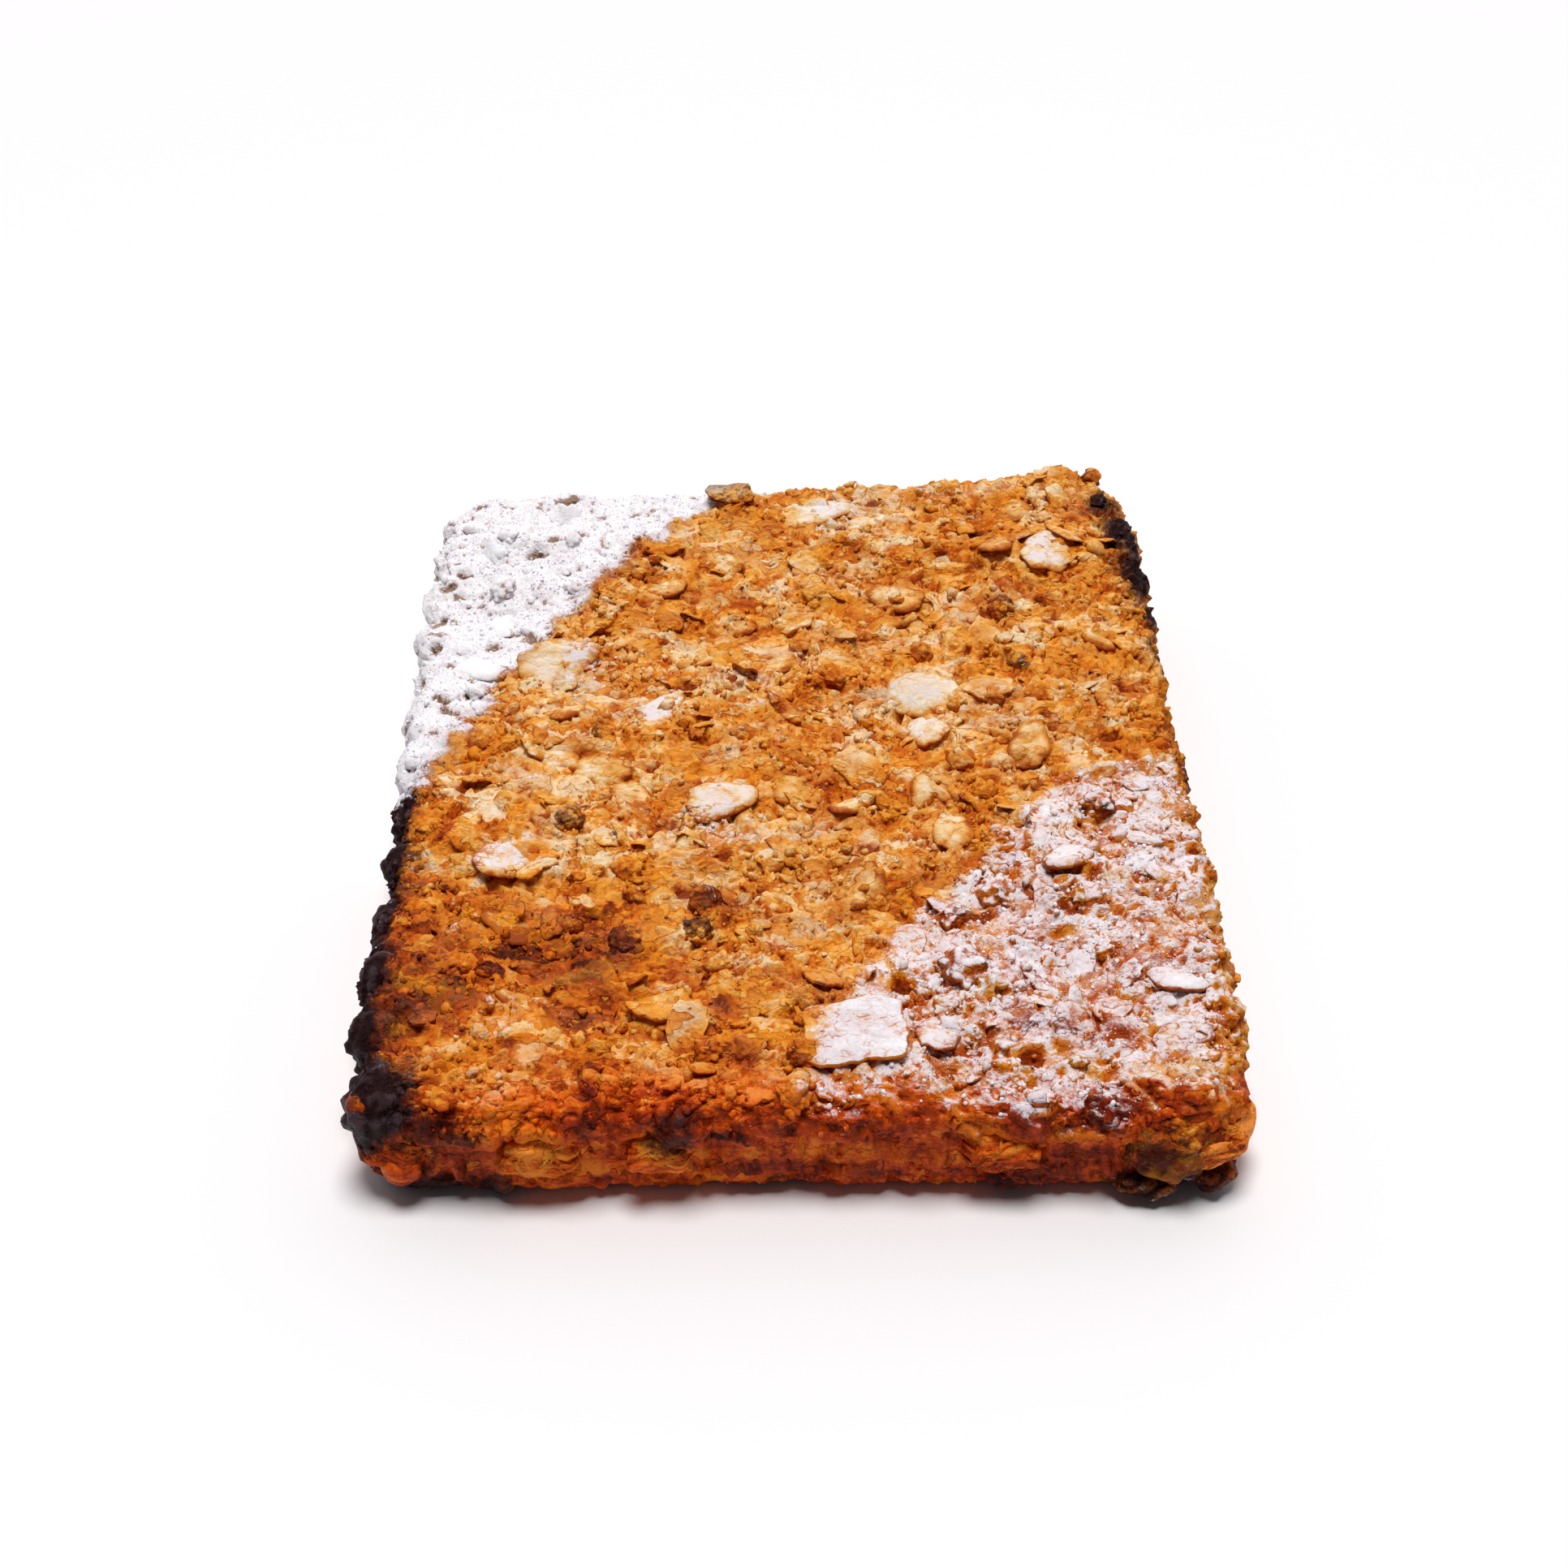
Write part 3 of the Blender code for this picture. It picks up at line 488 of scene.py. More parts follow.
def plan_point(a, b, inset):
    """The place in plan of the square's point (a, b), on an outline drawn in by inset."""
    side = (1 if a >= 0 else -1, 1 if b >= 0 else -1)
    pull = ARC_PULL * max(CORNER_RADII[side] - inset, LEAST_CORNER_RADIUS) * abs(a * b) ** CORNER_SHARPNESS
    x = a * (HALF_WIDTH - inset) - side[0] * pull
    y = b * (HALF_LENGTH - inset) - side[1] * pull
    drawn_x = waist(y, *(LEFT_WAIST if a < 0 else RIGHT_WAIST))
    drawn_y = waist(x, *FRONT_WAIST) if b < 0 else 0.0
    return x - side[0] * drawn_x * abs(a) ** WAIST_FADE, y + drawn_y * abs(b) ** WAIST_FADE


def lobe_swell(a, b):
    """How far the lobes swell at this place of the rim."""
    if abs(a) >= abs(b):
        return LOBE_SWELL["left" if a < 0 else "right"]
    return LOBE_SWELL["front" if b < 0 else "far"]


def lobe_share(a, b):
    """0 in the notch between two lobes of the crimped rim, up to 1 at the crown of a lobe."""
    along = (b + 1) / 2 * CELLS_ALONG if abs(a) >= abs(b) else (a + 1) / 2 * CELLS_ACROSS
    number = along / CELLS_PER_LOBE
    middle, reach = LOBE_VARIETY
    variety = middle + reach * noise.noise(Vector((math.floor(number) * LOBE_SEED_STEP, a * 2, b * 2)))
    return variety * abs(math.sin(math.pi * number)) ** LOBE_ROUNDNESS


def rim_shift(a, b):
    """How far the crimping draws this place of the rim in; less than nothing where it swells out."""
    lobe = lobe_share(a, b)
    shift = NOTCH_DEPTH - lobe_swell(a, b) * lobe
    if a <= -1:
        shift += LEFT_NOTCH_EXTRA * (1 - lobe) * (1 - b**CORNER_SHARPNESS)
    return shift


def coarse_top():
    """The solids' grid of points over the top, as an array."""
    rng = random.Random(CRAG_SEED)
    points = np.zeros((CELLS_ACROSS + 1, CELLS_ALONG + 1, 3))
    for i in range(CELLS_ACROSS + 1):
        for j in range(CELLS_ALONG + 1):
            x, y = plan_point(2 * i / CELLS_ACROSS - 1, 2 * j / CELLS_ALONG - 1, SHOULDER)
            crag = 0.0
            if 0 < i < CELLS_ACROSS and 0 < j < CELLS_ALONG:
                x += rng.uniform(-GRID_STRAY, GRID_STRAY)
                y += rng.uniform(-GRID_STRAY, GRID_STRAY)
                crag = rng.uniform(-CRAG_HEIGHT, CRAG_HEIGHT)
            points[i, j] = (x, y, top_height(x, y) + crag)
    return points


def square_rim(across_cells, along_cells):
    """The points (a, b) round the edge of a square grid, anticlockwise from its front left corner."""
    across = [2 * i / across_cells - 1 for i in range(across_cells + 1)]
    along = [2 * j / along_cells - 1 for j in range(along_cells + 1)]
    front = [(a, -1.0) for a in across[:-1]]
    right = [(1.0, b) for b in along[:-1]]
    far = [(a, 1.0) for a in reversed(across[1:])]
    left = [(-1.0, b) for b in reversed(along[1:])]
    return front + right + far + left


def ring_point(a, b, inset, share, weight):
    """One point of the side: share is 1 at the shoulder, 0 at the seam and -1 at the base."""
    x, y = plan_point(a, b, inset + weight * rim_shift(a, b))
    gap = SEAM_HALF_GAP * min(1.0, abs(share) * SEAM_SPREAD)
    if share <= 0:
        return x, y, (SEAM_HEIGHT - gap) * (1 + share)
    shoulder = top_height(*plan_point(a, b, SHOULDER))
    z = SEAM_HEIGHT + gap + (shoulder - SEAM_HEIGHT - gap) * share
    return x, y, z + LOBE_RISE * lobe_share(a, b) * math.sin(math.pi * share)


def fine_rings():
    """(inset, share of the height over or under the seam, weight of the lobes) for each row of the side."""
    last_angle = math.pi / 2 * UPPER_RINGS / (UPPER_RINGS + 0.4)
    first_angle = math.pi / 2 / LOWER_RINGS
    upper = [
        (SHOULDER * (1 - math.sin(t)), math.cos(t), math.sin(t))
        for t in np.linspace(0, last_angle, UPPER_STEPS + 1)[1:]
    ]
    lower = [
        (UNDERCUT * (1 - math.cos(t)), -math.sin(t), UNDERSIDE_LOBE_WEIGHT * math.cos(t))
        for t in np.linspace(first_angle, math.pi / 2, LOWER_STEPS + 1)
    ]
    seam = (SEAM_GROOVE, 0.0, SEAM_LOBE_WEIGHT)
    rows = list(upper)
    for start, end in ((upper[-1], seam), (seam, lower[0])):
        for k in range(1, SEAM_STEPS + 1):
            share = k / SEAM_STEPS
            rows.append(tuple(s + (e - s) * share for s, e in zip(start, end)))
    return rows + lower[1:]


def refined(points, axis):
    """An array of points with REFINE fine steps between each two along this axis."""
    count = points.shape[axis] - 1
    place = np.arange(count * REFINE + 1) / REFINE
    low = np.minimum(place.astype(int), count - 1)
    share = (place - low).reshape([-1 if k == axis else 1 for k in range(3)])
    return np.take(points, low, axis) * (1 - share) + np.take(points, low + 1, axis) * share


def softened(heights, rounds):
    """The heights of a grid with each averaged with its neighbours, some times over."""
    for _ in range(rounds):
        wide = np.pad(heights, 1, mode="edge")
        heights = (wide[:-2, 1:-1] + wide[2:, 1:-1] + wide[1:-1, :-2] + wide[1:-1, 2:]) / 4
    return heights


def crust_shell():
    """Points and four-cornered faces of the whole crust before its fine relief."""
    across, along = CELLS_ACROSS * REFINE, CELLS_ALONG * REFINE
    top = refined(refined(coarse_top(), 0), 1)
    top[:, :, 2] = softened(top[:, :, 2], REFINE)
    number = np.arange((across + 1) * (along + 1)).reshape(across + 1, along + 1)
    cells = (number[:-1, :-1], number[1:, :-1], number[1:, 1:], number[:-1, 1:])
    faces = [np.stack(cells, -1).reshape(-1, 4)]
    rim = square_rim(across, along)
    last = np.array([number[round((a + 1) / 2 * across), round((b + 1) / 2 * along)] for a, b in rim])
    points = top.reshape(-1, 3)
    shoulder = [plan_point(a, b, SHOULDER) for a, b in rim]
    points[last] = [(x, y, top_height(x, y)) for x, y in shoulder]
    side = [np.array([ring_point(a, b, *ring) for a, b in rim]) for ring in fine_rings()]
    base = [side[-1] * (share, share, 1) for share in BASE_SHARES]
    for first in len(points) + len(rim) * np.arange(len(side + base)):
        ring = first + np.arange(len(rim))
        faces.append(np.stack([last, ring, np.roll(ring, -1), np.roll(last, -1)], -1))
        last = ring
    near, far = last.reshape(2, -1)
    far = far[::-1]
    faces.append(np.stack([near[:-1], far[:-1], far[1:], near[1:]], -1)[:, ::-1])
    return np.concatenate([points] + side + base), np.concatenate(faces)


def normals_of(points, faces):
    """The unit normal of each point, from the faces round it: an array of alike faces, or a list of any."""
    if isinstance(faces, list):
        faces = np.array([(face[0], face[k], face[k + 1]) for face in faces for k in range(1, len(face) - 1)])
    corners = points[faces].transpose(1, 0, 2)
    if len(corners) == 4:
        turned = np.cross(corners[2] - corners[0], corners[3] - corners[1])
    else:
        turned = np.cross(corners[1] - corners[0], corners[2] - corners[0])
    total = np.zeros_like(points)
    for column in faces.T:
        np.add.at(total, column, turned)
    length = np.linalg.norm(total, axis=1, keepdims=True)
    return total / np.maximum(length, 1e-12)


# The fine relief.


def cell_at(place, size):
    """A cell of broken ground: bump from 0 at its edge to 1 in the middle, own share, middle, edge."""
    distances, middles = noise.voronoi(place / size)
    bump = max(0.0, 1 - (distances[0] / 0.66) ** 2)
    own = 0.5 + 0.5 * noise.cell(middles[0] * 17.3)
    return bump, own, middles[0], distances[1] - distances[0]


def torn(place):
    """Torn layers that lap over each other: height and own share from 0 to 1, and how near a foot this is."""
    spread = Vector((place.x / TORN_STRETCH, place.y, place.z)) / TORN_SIZE
    level = TORN_LEVELS * sum(weight * noise.noise(spread * scale) for scale, weight in TORN_OCTAVES) + 9
    number = math.floor(level)
    down = level - number
    own = 0.5 + 0.8 * noise.noise(Vector((place.x / TORN_PATCH, place.y / TORN_PATCH, number * 3.7)))
    return rise(down, 0.0, 0.14) * (1 - down), clipped(own), rise(down, 0.72, 1.0)


def crumbly(place):
    """The fine relief at a place: height, tone from 0 to 1, how open from 0 in a crack to 1 on a crown."""
    strayed = place + EDGE_STRAY * noise.noise_vector(place / EDGE_STRAY_SIZE)
    _, plate_own, plate_middle, plate_edge = cell_at(strayed, PLATE_SIZE)
    tilt = noise.noise_vector(plate_middle * 3.1).normalized().dot(strayed / PLATE_SIZE - plate_middle)
    plate = PLATE_TILT * tilt + PLATE_STEP * (plate_own - 0.5)
    crack = rise(plate_edge, 0.16, 0.0)
    lumpy = rise(noise_at(place, LUMPY_SIZE), -0.25, 0.20)
    layer, layer_own, foot = torn(place)
    clod, clod_own, _, _ = cell_at(strayed, CLOD_SIZE)
    crumb, crumb_own, _, _ = cell_at(strayed, CRUMB_SIZE)
    grain = noise_at(place, GRAIN_SIZE) + 0.6 * noise_at(place, 2.3 * GRAIN_SIZE)
    clods = lumpy * (clod * (0.35 + 0.65 * clod_own) - 0.35)
    crumbs = (0.35 + 0.65 * lumpy) * (crumb * crumb_own - 0.25)
    pit_bump, pit_own, _, _ = cell_at(Vector((strayed.x * 0.75, strayed.y * 1.2, place.z)), PIT_SIZE)
    powdered = rise(far_border(place.y) - place.x, -0.002, 0.004)
    pitted = 0.72 - 0.34 * powdered
    pit = rise(pit_bump, 0.72, 0.95) * rise(pit_own, pitted, pitted + 0.08)
    height = plate + TORN_HEIGHT * (layer - 0.45) + CLOD_HEIGHT * clods + CRUMB_HEIGHT * crumbs
    height += GRAIN_HEIGHT * grain
    height *= 1 - 0.45 * powdered
    height -= PLATE_CRACK * crack + PIT_DEPTH * pit
    tone = 0.60 * layer_own + 0.22 * clod_own + 0.18 * crumb_own
    # Openness is low in cracks, pits and at the foot of each torn layer and high on crowns; the materials
    # paint it as painted shade and painted light. It also keeps sugar out of hollows.
    open_share = 0.58 + 0.50 * clods + 0.40 * crumbs - 0.20 * crack - 0.8 * pit + 0.1 * grain
    open_share -= 0.42 * foot * (1 - 0.5 * powdered)
    return height, tone, clipped(open_share)


def far_border(y):
    """Where the far sugared corner ends at this y."""
    ys, xs = zip(*FAR_BORDER)
    return float(np.interp(y, ys, xs)) if y > ys[0] - 0.003 else -1.0


def filling_edge(x, y):
    """How far inside the outline the squash layer ends here, and its share of the full thickness."""
    inset, fullness = FILLING_INSET, FILLING_THIN_SHARE
    shows = [(abs(x - place) / half_width, proud) for place, half_width, proud in FILLING_SHOWS if y < 0]
    for side, reach, proud in FILLING_CORNERS:
        shows.append((math.hypot(x - side * HALF_WIDTH, y + HALF_LENGTH) / reach, proud))
    for away, proud in shows:
        share = max(0.0, 1 - away**2)
        inset = min(inset, FILLING_INSET - (FILLING_INSET + proud) * min(1.0, 2 * share))
        fullness = max(fullness, FILLING_THIN_SHARE + (1 - FILLING_THIN_SHARE) * share)
    return inset, fullness


def squash_span():
    """The height of the squash layer's middle, and half its thickness where it is thickest."""
    return (FILLING_BASE + FILLING_TOP) / 2, (FILLING_TOP - FILLING_BASE) / 2


def window_share(x, y, z):
    """1 where the squash layer shows through the side, 0 elsewhere."""
    inset, fullness = filling_edge(x, y)
    middle, half = squash_span()
    return rise(inset, 0.004, 0.0) * rise(abs(z - middle) / (half * fullness), 1.15, 0.85)


def crust():
    """The crust with its fine relief: points, faces, normals, and its tone and openness at each point."""
    points, faces = crust_shell()
    normals = normals_of(points, faces)
    tones, opens, shifts = np.zeros((3, len(points)))
    for k, (point, normal) in enumerate(zip(points, normals)):
        place = Vector(point)
        height, tones[k], opens[k] = crumbly(place)
        side = 1 - rise(normal[2], 0.2, 0.7)
        if side > 0:
            layer = noise_at(place, LAYER_LENGTH, LAYER_SIZE)
            height = height * (1 - 0.20 * side) + side * LAYER_HEIGHT * layer
            opens[k] += 0.15 * side * layer
        window = window_share(*place)
        shifts[k] = height * rise(place.z, 0.0, GROUNDED_BELOW) * (1 - window) - WINDOW_DEPTH * window
    points = points + normals * shifts[:, None]
    points[:, 2] = np.maximum(points[:, 2], 0.0)
    return points, faces, normals_of(points, faces), tones, np.clip(opens, 0, 1)


# What lies where: sugar, browning and burning.


def spots_at(points, spots):
    """The sum of these soft round spots at each point."""
    total = np.zeros(len(points))
    for x, y, z, radius, strength in spots:
        away = np.sum((points - (x, y, z)) ** 2, axis=1)
        total += strength * np.exp(-away / radius**2)
    return total


def border_share(points, border, side, fade):
    """1 on one side of a border and 0 on the other: side is -1 for the left of it and 1 for the right."""
    ys, xs = zip(*border)
    inside = side * (points[:, 0] - np.interp(points[:, 1], ys, xs))
    return smooth(inside + BORDER_STRAY * patchy(points, BORDER_STRAY_SIZE), -0.002, fade)


def far_share(points):
    """1 in the far sugared corner, 0 outside it."""
    return border_share(points, FAR_BORDER, -1, 0.006) * (points[:, 1] > -0.02)


def near_share(points):
    """1 in the near sugared corner, 0 outside it."""
    return border_share(points, NEAR_BORDER, 1, 0.009) * (1 - smooth(points[:, 1], 0.004, 0.012))


def sugar_at(points, normals, opens=None):
    """How densely icing sugar lies on each point, from 0 to 1: little on steep faces and in deep hollows."""
    upward = normals[:, 2]
    hollows = 1.0 if opens is None else smooth(opens, 0.02, 0.30)
    density = FAR_SUGAR * far_share(points) * (0.70 + 0.30 * smooth(upward, 0.0, 0.60))
    thinner = 1 - 0.14 * smooth(points[:, 1], -0.062, -0.088)
    density += NEAR_SUGAR * near_share(points) * smooth(upward, 0.30, 0.88) * thinner
    stray = STRAY_SUGAR * smooth(upward, 0.5, 0.9) + spots_at(points, SUGAR_SPOTS)
    return np.maximum(density, stray) * hollows


def char_at(points):
    """How burnt each point is."""
    middles = [middle for middle, _ in knob_places()[:LEFT_KNOBS]]
    knobs = [(x - KNOB_CHAR_SHIFT, y, z, KNOB_CHAR_RADIUS, KNOB_CHAR) for x, y, z in middles]
    x, y, z = points.T
    bottom = BOTTOM_CHAR * smooth(z, 0.0012, 0.0) * smooth(y, -0.080, -0.092)
    rim = smooth(x, -0.0690, -0.0735) * smooth(z, 0.007, 0.013) * (RIM_CHAR * smooth(y, 0.002, -0.006))
    return spots_at(points, CHAR_SPOTS) + spots_at(points, knobs) + bottom + rim


def stains(points, normals, tone, opens):
    """The named values that a material reads at each point."""
    opens = np.broadcast_to(opens, len(points))
    steep = smooth(normals[:, 2], 0.90, 0.25)
    front = smooth(normals[:, 1], -0.25, -0.65) * smooth(points[:, 1], -0.084, -0.090)
    return {
        # Steep faces are painted darker here: painted shade.
        "tone": tone + spots_at(points, TONE_SPOTS) - STEEP_PAINTED_SHADE * steep,
        "open": opens,
        "sugar": sugar_at(points, normals, opens),
        "char": char_at(points),
        "glaze": np.maximum(spots_at(points, GLAZE_SPOTS), FRONT_GLAZE * front),
        "dusted": far_share(points),
    }


# The toppings.


def any_turn(rng):
    """A random angle."""
    return rng.uniform(0, 2 * math.pi)


def scatter(count, spacing, taken, rng):
    """Random places on the top, this far apart and clear of the places already taken."""
    places = []
    while len(places) < count:
        x = rng.uniform(TOPPING_MARGIN - HALF_WIDTH, HALF_WIDTH - TOPPING_MARGIN)
        y = rng.uniform(TOPPING_MARGIN - HALF_LENGTH, HALF_LENGTH - TOPPING_MARGIN)
        if all(math.hypot(x - u, y - v) > spacing for u, v in taken + places):
            places.append((x, y))
    return places


def almond_places():
    """For each slice: x, y, length, width, turn, lean, the way it leans, and how deep it is sunk."""
    rng = random.Random(ALMOND_SEED)
    places = []
    for x, y, length, turn in LARGE_ALMONDS:
        width = length * LARGE_ALMOND_WIDTH_SHARE
        lie = (math.radians(turn), LARGE_ALMOND_LEAN, any_turn(rng), -LARGE_ALMOND_RISE)
        places.append((x, y, length, width, *lie))
    taken = [FLAKE_PLACE, FAR_FLAKE_PLACE] + [place[:2] for place in places]
    for x, y in scatter(ALMOND_COUNT - len(places), ALMOND_SPACING, taken, rng):
        length = rng.uniform(*ALMOND_LENGTHS)
        width = length * rng.uniform(*ALMOND_WIDTH_SHARES)
        lean = rng.choice(ALMOND_LEANS)
        sink = length * lean * ALMOND_SINK_SHARE
        places.append((x, y, length, width, any_turn(rng), lean, any_turn(rng), sink))
    return places


def lump_places(taken):
    """For each crumb lump: x, y, its radii, turn, and how deep it is sunk."""
    rng = random.Random(LUMP_SEED)
    places = []
    for x, y, radius in LARGE_LUMPS:
        radii = (radius, radius, radius * LUMP_FLATNESS)
        places.append((x, y, radii, any_turn(rng), radius * LARGE_LUMP_SINK_SHARE))
    blocked = taken + [place[:2] for place in places]
    for x, y in scatter(LUMP_COUNT - len(places), LUMP_SPACING, blocked, rng):
        radius = rng.uniform(*LUMP_RADII)
        radii = (radius * LUMP_STRETCH, radius, radius * LUMP_FLATNESS)
        places.append((x, y, radii, any_turn(rng), 0.0))
    return places


def shard_places(taken):
    """For each lifted flake of crust: x, y, length, turn, lean and the way it leans."""
    rng = random.Random(SHARD_SEED)
    places = []
    for x, y in scatter(SHARD_COUNT, SHARD_SPACING, taken, rng):
        length = rng.uniform(*SHARD_LENGTHS)
        places.append((x, y, length, any_turn(rng), rng.uniform(*SHARD_LEANS), any_turn(rng)))
    return places


def knob_places():
    """Middle and radii of each burnt knob of the left rim, and of the bulges of the front face."""
    pitch = LENGTH * CELLS_PER_LOBE / CELLS_ALONG
    places = []
    for k in range(1, LEFT_KNOBS + 1):
        x = KNOB_INSET - HALF_WIDTH
        y = (k + 0.5) * pitch - HALF_LENGTH
        radii = [radius * (1 - KNOB_FADE * k) for radius in LEFT_KNOB_RADII]
        places.append(((x, y, top_height(x, y) - KNOB_DROP), radii))
    return places + [CORNER_KNOB, *FRONT_KNOBS]


def on_top(points, x, y, sink, turn, lean=0.0, lean_way=0.0):
    """The points of a piece, laid on the top face at (x, y)."""
    reach = 0.003
    slope_x = (top_height(x + reach, y) - top_height(x - reach, y)) / (2 * reach)
    slope_y = (top_height(x, y + reach) - top_height(x, y - reach)) / (2 * reach)
    upright = Vector((-slope_x, -slope_y, 1)).normalized()
    tilt = Vector((0, 0, 1)).rotation_difference(upright).to_matrix().to_4x4()
    leaning = Matrix.Rotation(lean, 4, Vector((math.cos(lean_way), math.sin(lean_way), 0)))
    place = Matrix.Translation((x, y, top_height(x, y) - sink))
    moved = np.array(place @ tilt @ leaning @ Matrix.Rotation(turn, 4, "Z"))
    return points @ moved[:3, :3].T + moved[:3, 3]


def ball(subdivisions):
    """Points and triangles of a sphere of radius 1."""
    bm = bmesh.new()
    bmesh.ops.create_icosphere(bm, subdivisions=subdivisions, radius=1.0)
    points = np.array([v.co[:] for v in bm.verts])
    faces = np.array([[v.index for v in face.verts] for face in bm.faces])
    bm.free()
    return points, faces


def disc(sides, rings):
    """(angle, share of the radius, upper or lower) of each point of a flat lens, and its faces."""
    spots = []
    for side in (1, -1):
        spots.append((0.0, 0.0, side))
        spots += [(2 * math.pi * k / sides, r, side) for r in rings for k in range(sides)]
    faces = []
    half = 1 + sides * len(rings)
    for start, flip in ((0, False), (half, True)):
        for k in range(sides):
            after = (k + 1) % sides
            face = [start, start + 1 + k, start + 1 + after]
            faces.append(face[::-1] if flip else face)
            for r in range(len(rings) - 1):
                inner, outer = start + 1 + r * sides, start + 1 + (r + 1) * sides
                face = [inner + k, outer + k, outer + after, inner + after]
                faces.append(face[::-1] if flip else face)
    upper, lower = 1 + sides * (len(rings) - 1), half + 1 + sides * (len(rings) - 1)
    for k in range(sides):
        after = (k + 1) % sides
        faces.append([lower + k, lower + after, upper + after, upper + k])
    return spots, faces


def joined(parts):
    """One set of points, faces and point values from several."""
    points, faces, values, count = [], [], [], 0
    for part_points, part_faces, part_values in parts:
        points.append(part_points)
        faces += [[count + k for k in face] for face in part_faces]
        values.append(part_values)
        count += len(part_points)
    names = values[0].keys()
    return np.concatenate(points), faces, {name: np.concatenate([v[name] for v in values]) for name in names}


def linked(name, data):
    """A new object of the scene."""
    obj = bpy.data.objects.new(name, data)
    bpy.context.scene.collection.objects.link(obj)
    return obj


def piece(name, shape, material):
    """A mesh object of the packet, with the values that its material reads."""
    points, faces, values = shape
    mesh = bpy.data.meshes.new(name)
    mesh.from_pydata(points.tolist(), [], faces if isinstance(faces, list) else faces.tolist())
    mesh.shade_smooth()
    for key, value in values.items():
        attribute = mesh.attributes.new(key, "FLOAT", "POINT")
        attribute.data.foreach_set("value", np.asarray(value, np.float32))
    mesh.materials.append(material)
    obj = linked(name, mesh)
    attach(obj, "root")
    return obj


def almond_slice(length, width, bow, twist, seed):
    """A slice of almond: points, faces, and how close each point is to the skin at its edge."""
    spread, faces = disc(ALMOND_SIDES, ALMOND_RINGS)
    points = []
    for angle, share, side in spread:
        way = Vector((math.cos(angle) * 2.2, math.sin(angle) * 2.2, seed))
        ragged = 1 + ALMOND_ROUGHNESS * noise.noise(way)
        taper = 1 - ALMOND_TAPER * math.cos(angle)
        x = length / 2 * math.cos(angle) * share * ragged
        y = width / 2 * math.sin(angle) * taper * share * ragged
        thick = ALMOND_THICKNESS / 2 * (math.sqrt(max(0.0, 1 - share**4)) * 0.8 + 0.2)
        z = side * thick + bow * (2 * x / length) ** 2 + twist * x * y
        z += 0.0004 * noise_at(Vector((x, y, seed * 0.01)), 0.0016) - ALMOND_BEDDING * share**3
        points.append((x, y, z))
    return np.array(points), faces, np.array([share for _, share, _ in spread])


def almonds():
    """All the almond slices and how toasted each is."""
    rng = random.Random(SHAPE_SEEDS["almonds"])
    parts = []
    for number, (x, y, length, width, turn, lean, lean_way, sink) in enumerate(almond_places()):
        bow = rng.uniform(-ALMOND_BOW, ALMOND_BOW)
        twist = rng.uniform(-ALMOND_TWIST, ALMOND_TWIST)
        local, faces, edges = almond_slice(length, width, bow, twist, number)
        points = on_top(local, x, y, sink + ALMOND_SINK, turn, lean, lean_way)
        toasted = rng.uniform(0.1, 0.5) if number < PALE_ALMONDS else rng.uniform(0.5, 0.9)
        skin = smooth(edges, 0.60, 1.0)
        tone = 0.68 - 0.6 * toasted - 0.50 * skin + 0.55 * patchy(points, 0.0025)
        values = stains(points, normals_of(points, faces), tone, 0.70 - 0.30 * skin)
        if number < PALE_ALMONDS:
            values["sugar"] += rng.uniform(-0.05, 0.15)
        parts.append((points, faces, values))
    return joined(parts)


def knobbly(radii, subdivisions, seed, cell, depth):
    """A lump made of smaller clods: points, faces, tone and openness."""
    points, faces = ball(subdivisions)
    moved, tones, opens = [], [], []
    for point in points * radii:
        place = Vector(point) + Vector((seed * 0.37, seed * 0.11, seed * 0.23))
        bump, own, _, _ = cell_at(place, cell)
        fine = noise_at(place, cell * 0.4)
        moved.append(Vector(point) * (1 + depth * (bump * (0.5 + 0.5 * own) - 0.45) + 0.25 * depth * fine))
        tones.append(own)
        opens.append(clipped(0.25 + 0.7 * bump + 0.2 * fine))
    return np.array(moved), faces, np.array(tones), np.array(opens)


def lumps(taken):
    """The browned crumb lumps of the top."""
    rng = random.Random(SHAPE_SEEDS["lumps"])
    parts = []
    for number, (x, y, radii, turn, sink) in enumerate(lump_places(taken)):
        level, depth = (4, 0.36) if radii[0] > LARGE_LUMP_RADIUS else (3, 0.50)
        local, faces, tones, opens = knobbly(radii, level, number, radii[0] * 0.50, depth)
        points = on_top(local, x, y, sink, turn)
        tone = 0.05 + 0.35 * tones + rng.uniform(-0.12, 0.22)
        values = stains(points, normals_of(points, faces), tone, opens)
        values["char"] += rng.uniform(0.0, 0.30)
        parts.append((points, faces.tolist(), values))
    return joined(parts)


